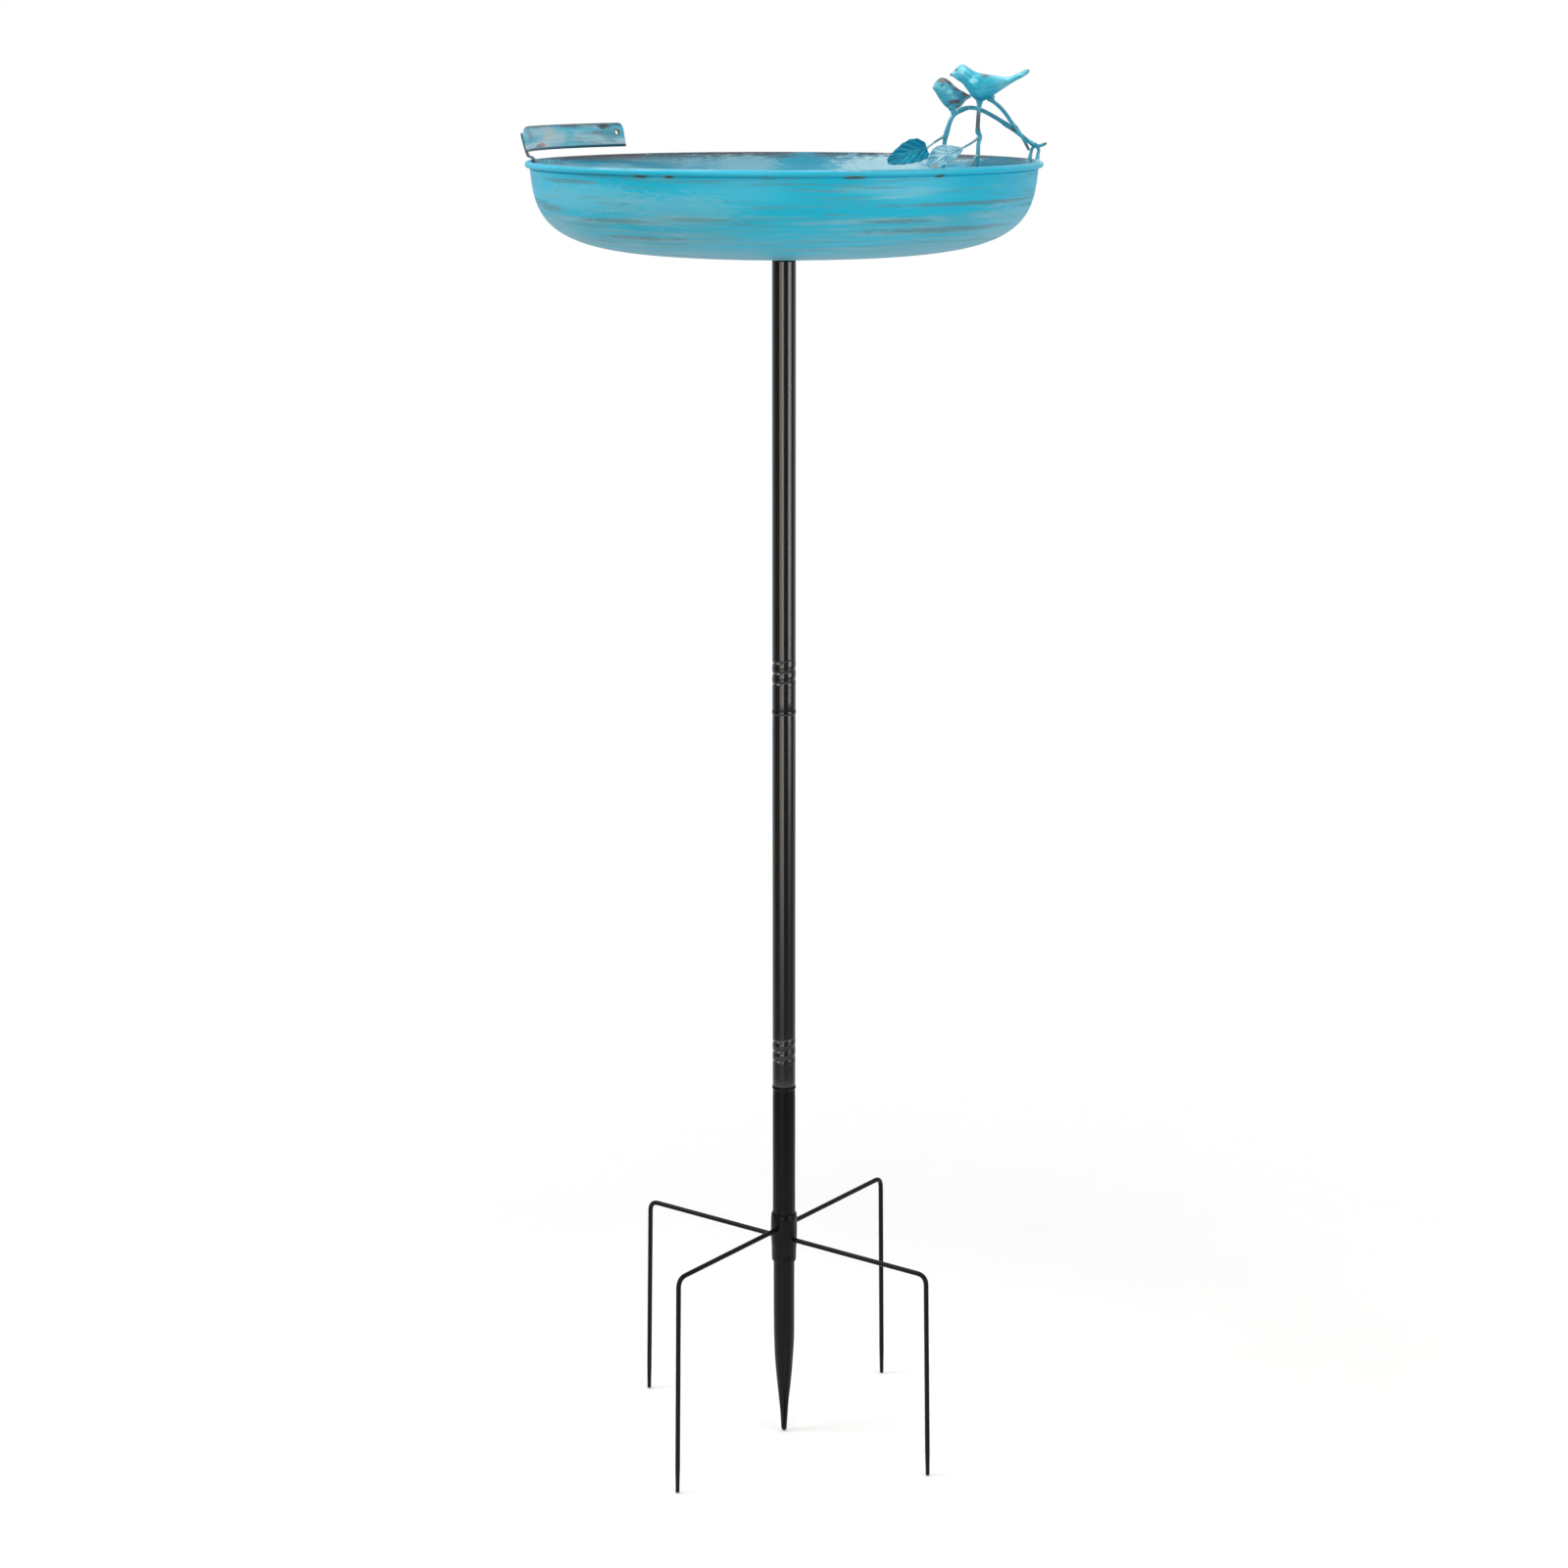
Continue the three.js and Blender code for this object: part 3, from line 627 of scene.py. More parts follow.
class Graph:
    """One material and the nodes that are added to it."""

    def __init__(self, name: str) -> None:
        """Start a material with an empty Principled shader.

        Args:
            name: the material's name.
        """
        self.material = bpy.data.materials.new(name)
        self.material.use_nodes = True
        self.tree = self.material.node_tree
        self.tree.nodes.clear()
        self.shader = self.add("ShaderNodeBsdfPrincipled")
        self.add("ShaderNodeOutputMaterial", inputs={"Surface": self.shader.outputs[0]})
        self.here = self.add("ShaderNodeTexCoord").outputs["Object"]

    def add(self, kind: str, settings: Mapping | None = None,
            inputs: Mapping[int | str, Setting] | None = None) -> bpy.types.Node:
        """Add any node.

        Args:
            kind: the node's type.
            settings: its properties, and "stops" for a colour ramp, all set before its sockets.
            inputs: values or links by the socket's name, identifier or number.

        Returns:
            The node.
        """
        node = self.tree.nodes.new(kind)
        for key, setting in (settings or {}).items():
            if key == "stops":
                set_stops(node.color_ramp, setting)
            else:
                setattr(node, key, setting)
        for key, given in (inputs or {}).items():
            self.feed(find_socket(node.inputs, key), given)
        return node

    def feed(self, socket: Socket, given: Setting) -> None:
        """Link or set one socket.

        Args:
            socket: the input.
            given: a value, a link, a colour's code or a constant.
        """
        if isinstance(given, Value):
            self.tree.links.new(given.socket, socket)
        elif isinstance(given, Socket):
            self.tree.links.new(given, socket)
        else:
            socket.default_value = linear(given) if isinstance(given, str) else given

    def value(self, kind: str, settings: Mapping | None = None,
              inputs: Mapping[int | str, Setting] | None = None, output: int | str = 0) -> Value:
        """Add a node and take one of its outputs as a number.

        Args:
            kind: the node's type.
            settings: its properties.
            inputs: its sockets.
            output: the output's name or number.

        Returns:
            The output.
        """
        return Value(self, find_socket(self.add(kind, settings, inputs).outputs, output))

    def axes(self) -> tuple[Value, Value, Value]:
        """The three coordinates of the place that is shaded."""
        split = self.add("ShaderNodeSeparateXYZ", inputs={0: self.here})
        return Value(self, split.outputs[0]), Value(self, split.outputs[1]), Value(self, split.outputs[2])

    def vector(self, operation: str, first: Setting, second: Setting) -> Socket:
        """Two vectors through one Vector Math node.

        Args:
            operation: the node's operation.
            first: the first vector.
            second: the second vector.

        Returns:
            The vector that comes out.
        """
        inputs = {0: first, 1: second}
        return self.add("ShaderNodeVectorMath", {"operation": operation}, inputs).outputs["Vector"]

    def grain(self, scale: float, detail: float = 3.0, at: Setting | None = None,
              rough: float = 0.55) -> Value:
        """Noise from 0 to 1 over the piece.

        Args:
            scale: features in a metre, or in a unit of at.
            detail: how many finer layers it has.
            at: the coordinates, or nothing for the piece's own.
            rough: how strong the finer layers are.

        Returns:
            The noise.
        """
        where = self.here if at is None else at
        inputs = {"Vector": where, "Scale": scale, "Detail": detail, "Roughness": rough}
        return self.value("ShaderNodeTexNoise", {}, inputs)

    def stretched(self, x: Setting, y: Setting, z: Setting) -> Socket:
        """A vector put together from three numbers."""
        return self.add("ShaderNodeCombineXYZ", inputs={0: x, 1: y, 2: z}).outputs[0]

    def mix(self, share: Setting, first: Setting, second: Setting) -> Socket:
        """A colour between two.

        Args:
            share: 0 for the first, 1 for the second.
            first: one colour.
            second: the other.

        Returns:
            The mixed colour.
        """
        inputs = {"Factor_Float": share, "A_Color": first, "B_Color": second}
        node = self.add("ShaderNodeMix", {"data_type": "RGBA"}, inputs)
        return find_socket(node.outputs, "Result_Color")

    def bump(self, height: Value, strength: float, distance: float,
             under: Setting | None = None) -> Socket:
        """A normal that follows a height.

        Args:
            height: the height, about 0 to 1.
            strength: how much of it shows.
            distance: the height of 1, in metres.
            under: a normal to add it to.

        Returns:
            The normal.
        """
        inputs: dict[int | str, Setting] = {"Height": height, "Strength": strength, "Distance": distance}
        if under is not None:
            inputs["Normal"] = under
        return self.add("ShaderNodeBump", {}, inputs).outputs[0]

    def finish(self, **inputs: Setting) -> bpy.types.Material:
        """Feed the shader's sockets, named with underscores for spaces, and hand the material over."""
        for key, given in inputs.items():
            self.feed(find_socket(self.shader.inputs, key.replace("_", " ")), given)
        return self.material


def set_stops(ramp: bpy.types.ColorRamp, stops: Sequence[tuple[float, tuple]]) -> None:
    """Give a colour ramp its stops.

    Args:
        ramp: the ramp.
        stops: place and colour of each.
    """
    while len(ramp.elements) < len(stops):
        ramp.elements.new(1.0)
    for element, (at, colour) in zip(ramp.elements, stops):
        element.position = at
        element.color = colour


def find_socket(sockets: Sequence[Socket], key: int | str) -> Socket:
    """A socket by number, identifier or name.

    Args:
        sockets: a node's inputs or outputs.
        key: what to look for.

    Returns:
        The socket.
    """
    if isinstance(key, int):
        return sockets[key]
    named = [s for s in sockets if s.identifier == key] + [s for s in sockets if s.name == key]
    return named[0]


# ---------------------------------------------------------------- finishes


@dataclass(frozen=True)
class Patch:
    """A ragged place of another colour in a paint: an ellipsoid in the frame's coordinates."""

    centre: Triple
    size: Triple
    colour: str
    strength: float = 1.0
    ragged: float = 0.9
    breaks: Pair = (150.0, 600.0)
    fade: Pair = (0.5, 1.1)

    @classmethod
    def at(cls, centre: Vector, size: Sequence[float], colour: str, strength: float,
           ragged: float = 0.9) -> "Patch":
        """A patch with its size in millimetres.

        Args:
            centre: its middle in the frame, in metres.
            size: how far it reaches along X, Y and Z, in millimetres.
            colour: of the patch.
            strength: how much of it shows.
            ragged: how broken its edge is.

        Returns:
            The patch.
        """
        return cls(tuple(centre), tuple(part * MM for part in size), colour, strength, ragged)

    def lay_on(self, graph: Graph, under: Setting) -> Socket:
        """Mix the patch over a colour.

        Args:
            graph: the material's graph.
            under: the colour beneath.

        Returns:
            The colour with the patch on it.
        """
        away = graph.vector("SUBTRACT", graph.here, self.centre)
        scaled = graph.vector("DIVIDE", away, self.size)
        distance = graph.value("ShaderNodeVectorMath", {"operation": "LENGTH"}, {0: scaled}, "Value")
        x, y, z = graph.axes()
        level, upright = self.breaks
        broken = graph.grain(1, 5, graph.stretched(x * level, y * level, z * upright), 0.65)
        edge = (broken - 0.5) * (2 * self.ragged)
        cover = 1 - (distance + edge).step(*self.fade)
        return graph.mix(cover * self.strength, under, self.colour)


class Flow(Enum):
    """Which way the brush ran."""

    ROUND = "round the dish"
    LEVEL = "level, along the strap"


@dataclass(frozen=True)
class BrushedPaint:
    """Turquoise paint brushed on by hand and rubbed back with a brown glaze."""

    name: str
    bright: str
    dull: str
    # The pale colour of the wash, also used as painted reflection low down and at the sides.
    wash: str
    glaze: str
    brown: str
    flow: Flow = Flow.ROUND
    dulling: Pair = (0.42, 0.62)
    washing: Pair = (0.56, 0.72)
    stroking: Pair = (0.53, 0.64)
    streaks: float = 0.8
    edge: float = 1.0
    edge_depth: float = 7 * MM
    edge_glaze: float = 0.0
    edge_from: float = -1.0
    low: float = -1.0
    roughness: float = 0.4
    patches: tuple[Patch, ...] = ()
    sway: float = 22 * MM
    shake: float = 2.2 * MM

    def lane(self, graph: Graph) -> Value:
        """The coordinate across the strokes, in metres, with the wander of a hand in it.

        Args:
            graph: the material's graph.

        Returns:
            The coordinate.
        """
        x, y, z = graph.axes()
        across = z + (x * x + y * y) ** 0.5 if self.flow is Flow.ROUND else z
        return across + (graph.grain(5, 1) - 0.5) * self.sway + (graph.grain(60, 2) - 0.5) * self.shake

    def build(self) -> bpy.types.Material:
        """Make the material.

        Returns:
            The material.
        """
        graph = Graph(self.name)
        x, y, z = graph.axes()
        lane = self.lane(graph)

        def brush(along: float, across: float, detail: float = 4) -> Value:
            """Noise drawn out along the strokes: features in a metre along and across them."""
            return graph.grain(1, detail, graph.stretched(x * along, y * along, lane * across), 0.6)

        bristles = brush(34, 1700)
        broad = brush(10, 130, 3)
        dashes = brush(15, 430)
        groups = brush(8, 42, 2)
        dry = brush(240, 1500, 2)
        # Painted shade and painted reflection: the paint turns duller and greyer towards the bottom, where
        # the floor is reflected, and paler towards the left and right, where the lights are reflected.
        lower = 1 - z.step(self.low, self.edge)
        painted_side_reflection = (x * x) ** 0.5
        tone = broad * 0.7 + lower * 0.3 + painted_side_reflection - 0.12
        colour = graph.mix(tone.step(*self.dulling), self.bright, self.dull)
        # The pale colour shows partly as random wash and partly as painted reflection, most strongly low down
        # and at the sides.
        wash = (broad * 0.6 + graph.grain(12, 4) * 0.4).step(*self.washing)
        pale = 0.2 + lower * 0.35 + painted_side_reflection * 3.4
        colour = graph.mix(wash * pale, colour, self.wash)
        worn = dry.step(0.36, 0.6) * 0.75 + 0.25
        stroke = dashes.step(*self.stroking) * groups.step(0.38, 0.56) * worn
        colour = graph.mix(stroke * self.streaks, colour, self.glaze)
        deep = dashes.step(self.stroking[1], self.stroking[1] + 0.09) * groups.step(0.46, 0.6) * worn
        colour = graph.mix(deep * (self.streaks * 0.8), colour, self.brown)
        colour = graph.mix(bristles.step(0.56, 0.76) * (0.42 * self.streaks), colour, self.glaze)
        # Pale between the bristles, stronger low down and at the sides as painted reflection.
        colour = graph.mix((1 - bristles.step(0.26, 0.42)) * pale * 0.4, colour, self.wash)
        near_edge = z.step(self.edge - self.edge_depth, self.edge)
        near_edge = near_edge * y.step(self.edge_from, self.edge_from + 0.1)
        rubbed = near_edge * (brush(13, 260) * 0.6 + dry * 0.4 + near_edge * 0.16).step(0.49, 0.64)
        colour = graph.mix(rubbed * self.edge_glaze, colour, self.brown)
        for patch in self.patches:
            colour = patch.lay_on(graph, colour)
        sheen = self.roughness + stroke * 0.2 + (bristles - 0.5) * 0.12
        ridges = graph.bump(bristles, 0.3, 0.1 * MM)
        skin = graph.bump(graph.grain(420, 2), 0.1, 0.2 * MM, ridges)
        return graph.finish(Base_Color=colour, Roughness=sheen, Normal=skin, Specular_IOR_Level=0.4)


@dataclass(frozen=True)
class CastPaint:
    """Teal enamel on a casting, lighter and darker at random, with flecks of a dark brown glaze."""

    name: str
    deep: str
    light: str
    glaze: str
    lights: Pair = (0.48, 0.70)
    glazing: Pair = (0.66, 0.76)
    amount: float = 0.8
    size: float = 150.0
    roughness: float = 0.3
    patches: tuple[Patch, ...] = ()
    gloss: float = 0.55
    texture: float = 1.0

    def build(self) -> bpy.types.Material:
        """Make the material.

        Returns:
            The material.
        """
        graph = Graph(self.name)
        cloud = graph.grain(self.size, 2)
        fleck = graph.grain(self.size * 2.3, 3, graph.vector("ADD", graph.here, (0.31, 0.17, 0.05)))
        colour = graph.mix(cloud.step(*self.lights), self.deep, self.light)
        glaze = fleck.step(*self.glazing) * self.amount
        colour = graph.mix(glaze, colour, self.glaze)
        for patch in self.patches:
            colour = patch.lay_on(graph, colour)
        sheen = self.roughness + glaze * 0.25 + (graph.grain(900, 2) - 0.5) * 0.12
        normal = graph.bump(graph.grain(500, 2), 0.12 * self.texture, 0.1 * MM)
        normal = graph.bump(cloud, 0.15 * self.texture, 0.3 * MM, normal)
        return graph.finish(Base_Color=colour, Roughness=sheen, Normal=normal,
                            Specular_IOR_Level=self.gloss)


@dataclass(frozen=True)
class PowderCoat:
    """Black powder coat on steel, with its faint orange peel, dust and rubbed places."""

    name: str
    black: str = "#0c0b0b"
    rubbed: str = "#3a342f"
    rubbing: float = 0.08
    roughness: float = 0.21
    gloss: float = 0.75

    def build(self) -> bpy.types.Material:
        """Make the material.

        Returns:
            The material.
        """
        graph = Graph(self.name)
        x, y, z = graph.axes()
        scuffs = graph.grain(1, 4, graph.stretched(x * 260, y * 260, z * 24), 0.65)
        cloud = graph.grain(30, 3)
        wear = scuffs.step(0.6, 0.8) * cloud.step(0.45, 0.7)
        colour = graph.mix(wear * self.rubbing, self.black, self.rubbed)
        sheen = self.roughness + wear * 0.07 + (graph.grain(26, 2) - 0.5) * 0.05
        peel = graph.bump(graph.grain(240, 1), 0.02, 0.04 * MM)
        return graph.finish(Base_Color=colour, Roughness=sheen, Normal=peel,
                            Specular_IOR_Level=self.gloss)


@dataclass(frozen=True)
class ZincPlate:
    """Bright zinc plate on turned steel."""

    name: str = "zinc_plate"
    bright: str = "#c4c7ca"
    stain: str = "#8f8a80"

    def build(self) -> bpy.types.Material:
        """Make the material.

        Returns:
            The material.
        """
        graph = Graph(self.name)
        x, y, z = graph.axes()
        turning = graph.grain(1, 2, graph.stretched(x * 90, y * 90, z * 5000), 0.5)
        colour = graph.mix(graph.grain(220, 4).step(0.45, 0.7), self.bright, self.stain)
        normal = graph.bump(turning, 0.2, 0.03 * MM)
        sheen = 0.28 + turning * 0.2
        return graph.finish(Base_Color=colour, Metallic=1.0, Roughness=sheen, Normal=normal)


@dataclass(frozen=True)
class Rubber:
    """Dull black rubber with a dusty bloom."""

    name: str = "seat_rubber"
    black: str = "#1b1b1b"
    bloom: str = "#3c3b3a"

    def build(self) -> bpy.types.Material:
        """Make the material.

        Returns:
            The material.
        """
        graph = Graph(self.name)
        cloud = graph.grain(260, 4)
        colour = graph.mix(cloud.step(0.45, 0.75), self.black, self.bloom)
        normal = graph.bump(graph.grain(1500, 2), 0.4, 0.05 * MM)
        return graph.finish(Base_Color=colour, Roughness=0.75 + cloud * 0.2, Normal=normal)


# ---------------------------------------------------------------- levels read from the frame


@dataclass(frozen=True)
class Levels:
    """Heights and radii of the frame, in metres."""

    pole_radius: float
    lower_joint: float
    upper_joint: float
    pole_top: float
    bowl_base: float
    rim: float
    bowl_radius: float

    @classmethod
    def read(cls) -> "Levels":
        """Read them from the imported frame.

        Returns:
            The levels.
        """
        joints = {joint["name"]: joint["pos_m"][2] for joint in frame["joints"]}
        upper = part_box("pole_upper")[1]
        low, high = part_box("bowl")
        return cls(
            pole_radius=upper.x,
            lower_joint=joints["lower_screw_joint"],
            upper_joint=joints["upper_screw_joint"],
            pole_top=upper.z,
            bowl_base=low.z,
            rim=high.z,
            bowl_radius=high.x,
        )


# ---------------------------------------------------------------- pole


@dataclass
class Pole:
    """The two upper tubes of the pole, with their rolled grooves, shoulders and necks."""

    levels: Levels
    wall: float = 1.0 * MM
    clearance: float = 0.3 * MM
    neck_gap: float = 0.5 * MM
    neck_length: float = 32 * MM
    shoulder_height: float = 2.4 * MM
    shoulder_bulge: float = 0.35 * MM
    thread_lead: float = 6.8 * MM
    thread_depth: float = 0.6 * MM
    thread_start: float = 15.5 * MM
    thread_length: float = 18 * MM
    crest_height: float = 0.12 * MM
    neck_groove: float = 0.28 * MM
    neck_turns: int = 5
    sides: int = 72

    def female_end(self, bottom: float) -> Profile:
        """The outside of a tube's lower end and its rolled stretch, from the bottom up.

        Args:
            bottom: height of the tube's lower edge.

        Returns:
            The profile.
        """
        radius = self.levels.pole_radius
        lip = 0.5 * MM
        rows = arc((radius - lip, bottom + lip), lip, -90, 0, 5)
        rows.append((radius, bottom + 6 * MM))
        rings = 96
        start, length = self.thread_start - MM, self.thread_length + 2 * MM
        return rows + [(radius, bottom + start + length * ring / rings) for ring in range(rings + 1)]

    def male_end(self, shoulder: float) -> Profile:
        """The rounded shoulder and neck at a tube's upper end, out and over and back down the bore.

        Args:
            shoulder: height where the next tube sits down.

        Returns:
            The profile.
        """
        radius = self.levels.pole_radius
        neck = radius - self.wall - self.neck_gap
        top = shoulder + self.neck_length
        crown = shoulder - self.clearance
        foot = crown - self.shoulder_height
        rows = [(radius, foot - 6 * MM), (radius - 0.15 * MM, foot)]
        for step in range(1, 9):
            swell = math.sin(math.pi * step / 10)
            rows.append((radius + self.shoulder_bulge * swell, blend(foot, crown, step / 8)))
        rows += [(radius - 0.4 * MM, crown + 0.05 * MM), (neck + 0.2 * MM, crown + 0.1 * MM)]
        rings = self.neck_turns * 12
        for ring in range(rings + 1):
            share = ring / rings
            groove = self.neck_groove * (0.5 - 0.5 * math.cos(FULL_TURN * share * self.neck_turns))
            rows.append((neck - groove, blend(crown + 2 * MM, top - 2 * MM, share)))
        rows += [(neck - 0.6 * MM, top), (neck - self.wall, top), (neck - self.wall, shoulder)]
        return rows + [(radius - self.wall, foot - 2 * MM)]

    def rolled(self, bottom: float) -> Bend:
        """A shape that presses helical grooves into a tube.

        Args:
            bottom: height of the tube's lower edge.

        Returns:
            The function for lathe.
        """
        outside = self.levels.pole_radius - self.wall / 2

        def shape(bearing: float, radius: float, z: float) -> Pair:
            """Press one point in.

            Args:
                bearing: in radians.
                radius: of the point.
                z: its height.

            Returns:
                The new radius and height.
            """
            share = (z - bottom - self.thread_start) / self.thread_length
            if radius < outside or share <= 0 or share >= 1:
                return radius, z
            phase = math.cos(FULL_TURN * ((z - bottom) / self.thread_lead - bearing / FULL_TURN))
            fade = min(8 * min(share, 1 - share), 1)
            crest = self.crest_height * max(-phase, 0) ** 2
            return radius - fade * (self.thread_depth * max(phase, 0) ** 6 - crest), z

        return shape

    def build(self) -> None:
        """Make the two tubes."""
        coat = PowderCoat("pole_powder_coat").build()
        levels = self.levels
        bore = levels.pole_radius - self.wall
        edge = 0.35 * MM
        top = levels.pole_top
        bottom = levels.upper_joint
        upper = [(bore, bottom), *self.female_end(bottom)]
        upper += [(levels.pole_radius, bottom + share * (top - bottom) - edge)
                  for share in (0.3, 0.6, 0.98, 1)]
        upper += [(levels.pole_radius - edge, top), (bore, top)]
        tube = lathe("upper_tube", upper, self.sides, self.rolled(bottom))
        place(tube, Body.UPPER, Slot.BLACK, "pole_upper", coat)
        middle = [(bore, levels.lower_joint), *self.female_end(levels.lower_joint)]
        middle += self.male_end(levels.upper_joint)
        tube = lathe("middle_tube", middle, self.sides, self.rolled(levels.lower_joint))
        place(tube, Body.MIDDLE, Slot.BLACK, "pole_middle", coat)


# ---------------------------------------------------------------- stake


@dataclass
class Stake:
    """The pressed spike, its collar and the two wire staples."""

    pole: Pole
    spike_radius: float = 7 * MM
    taper: float = 76 * MM
    tip_radius: float = 1.9 * MM
    rod_radius: float = 1.6 * MM
    splay: float = 3 * MM
    elbow: float = 7 * MM
    weld_radius: float = 0.75 * MM
    spike_wall: float = MM
    off_ground: float = 0.05 * MM
    seams: Pair = (-75, 105)

    def spike(self) -> Piece:
        """The lowest tube, pressed to a blunt point with a folded seam.

        Returns:
            The object.
        """
        low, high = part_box("prong_collar")
        rows = [(0.0, 0.0), (0.6 * self.tip_radius, 0.3 * MM), (0.9 * self.tip_radius, 1.1 * MM)]
        rows.append((self.tip_radius, 2.2 * MM))
        spread = self.spike_radius - self.tip_radius
        steps = 34
        for step in range(2, steps + 1):
            swell = math.sin(math.pi * step / steps / 2) ** 1.5
            rows.append((self.tip_radius + spread * swell, self.taper * step / steps))
        straight = 12
        for step in range(1, straight + 1):
            rows.append((self.spike_radius, blend(self.taper, low.z + 2 * MM, step / straight)))
        rows.append((self.pole.levels.pole_radius, high.z - 6 * MM))
        rows += self.pole.male_end(self.pole.levels.lower_joint)
        rows += [(self.pole.levels.pole_radius - 1.5 * MM, high.z)]
        rows += [(self.spike_radius - self.spike_wall, low.z)]
        rows += [(self.spike_radius - self.spike_wall, self.taper), (0.0, self.taper - 20 * MM)]

        def pressed(bearing: float, radius: float, z: float) -> Pair:
            """Press the folds and dents of the point into the skin.

            Args:
                bearing: in radians.
                radius: of the point.
                z: its height.

            Returns:
                The new radius and height.
            """
            inside = z > self.taper - MM and radius < self.spike_radius - self.spike_wall / 2
            if z > low.z or radius < self.tip_radius or inside:
                return radius, z
            fold = smooth_step(low.z, self.taper * 0.55, z) * smooth_step(0, 12 * MM, z)
            crease = 0.0
            for seam in self.seams:
                near = math.cos(bearing - math.radians(seam))
                crease += max(near, 0) ** 60
            dents = wobble(polar(radius, math.degrees(bearing), z * 0.5), 90, seed=7.7)
            return radius - fold * (0.9 * MM * crease + 0.3 * MM * max(dents, 0)), z

        return lathe("ground_spike", rows, 96, pressed)

    def staple(self, name: str, node: str, tip: Vector) -> tuple[Piece, list[Vector]]:
        """One wire bent down at both ends.

        Args:
            name: the new object's name.
            node: the solid that it stands for.
            tip: the centre of one of its ground tips.

        Returns:
            The object, and where it enters the collar on each side.
        """
        bearing = math.degrees(math.atan2(tip.y, tip.x))
        foot = math.hypot(tip.x, tip.y)
        reach = foot - self.splay
        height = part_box(node)[1].z - self.rod_radius
        corners = [polar(-foot, bearing), polar(-reach, bearing, height)]
        corners += [polar(reach, bearing, height), polar(foot, bearing)]
        spans, turns = 8, 12
        path = [corners[0]]
        for before, corner, after in zip(corners, corners[1:], corners[2:]):
            into = (corner - before).normalized()
            out = (after - corner).normalized()
            cut = self.elbow * math.tan(into.angle(out) / 2)
            start, end = corner - into * cut, corner + out * cut
            path += [path[-1].lerp(start, step / spans) for step in range(1, spans)]
            for step in range(turns + 1):
                share = step / turns
                path.append(start.lerp(corner, share).lerp(corner.lerp(end, share), share))
        path += [path[-1].lerp(corners[-1], step / spans) for step in range(1, spans + 1)]
        path[0].z = path[-1].z = self.off_ground

        def radius(share: float) -> float:
            """Rounded off a little at the cut ends."""
            ends = min(share, 1 - share)
            return self.rod_radius * (0.86 + 0.14 * smooth_step(0, 0.012, ends))

        wire = sweep(name, path, radius, sides=20, roughen=0.02)
        entry = self.pole.levels.pole_radius + 0.9 * MM
        return wire, [polar(entry, bearing, height), polar(-entry, bearing, height)]

    def collar(self, entries: Sequence[Vector]) -> Piece:
        """The swelled collar with a weld round each wire.

        Args:
            entries: where the wires enter it.

        Returns:
            The object.
        """
        low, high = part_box("prong_collar")
        outer = high.x
        bore = self.pole.levels.pole_radius + self.pole.clearance
        length = high.z - low.z
        rows = [(bore, low.z), (bore + 0.25 * MM, low.z)]
        rings = 24
        for step in range(1, rings + 1):
            share = step / rings
            swell = smooth_step(0, 0.62, share) * (1 - 0.65 * smooth_step(0.86, 1, share) ** 2)
            height = low.z + 0.4 * MM + (length - 0.5 * MM) * share
            rows.append((blend(bore + 0.35 * MM, outer, swell), height))
        rows.append((bore, high.z))

        def hammered(bearing: float, radius: float, z: float) -> Pair:
            """Let the skin stray as a swaged collar does."""
            stray = wobble(polar(radius, math.degrees(bearing), z), 160, seed=1.9)
            return radius - (0.22 * MM * max(stray, 0) if radius > bore + 0.1 * MM else 0.0), z

        parts = [lathe("collar_sleeve", rows, 64, hammered)]
        parts += [self.weld(number, entry) for number, entry in enumerate(entries)]
        return fuse("swaged_collar", parts, voxel=0.3 * MM, rounds=3)

    def weld(self, number: int, entry: Vector) -> Piece:
        """A bead of weld round a wire where it enters the collar.

        Args:
            number: of the wire's end, which shifts the bead's lumps.
            entry: where the wire enters.

        Returns:
            The object.
        """
        outwards = Vector((entry.x, entry.y, 0)).normalized()
        upwards = Vector((0, 0, 1))
        across = outwards.cross(upwards)
        spans = 24
        ring = []
        for step in range(spans + 1):
            angle = FULL_TURN * step / spans
            around = across * math.cos(angle) + upwards * math.sin(angle)
            ring.append(entry - outwards * 0.7 * MM + around * (self.rod_radius + 0.35 * MM))

        def bead(share: float) -> float:
            """The weld's uneven thickness."""
            return self.weld_radius * (1 + 0.25 * math.sin(FULL_TURN * 4 * share + number * 1.7))

        return sweep(f"collar_weld_{number}", ring, bead, sides=10)

    def build(self) -> None:
        """Make the stake's four pieces."""
        coat = PowderCoat("stake_powder_coat", "#060504", "#3a2a1e", rubbing=0.45, roughness=0.3,
                          gloss=0.16).build()
        place(self.spike(), Body.STAKE, Slot.BLACK, "pole_lower", coat)
        entries: list[Vector] = []
        for node, side in (("prong_rod_lower", -1), ("prong_rod_upper", 1)):
            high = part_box(node)[1]
            tip = Vector((high.x - self.rod_radius, side * (high.y - self.rod_radius), 0))
            wire, ends = self.staple(node.replace("rod", "wire"), node, tip)
            place(wire, Body.STAKE, Slot.BLACK, node, coat)
            entries += ends
        place(self.collar(entries), Body.STAKE, Slot.BLACK, "prong_collar", coat)


# ---------------------------------------------------------------- dish


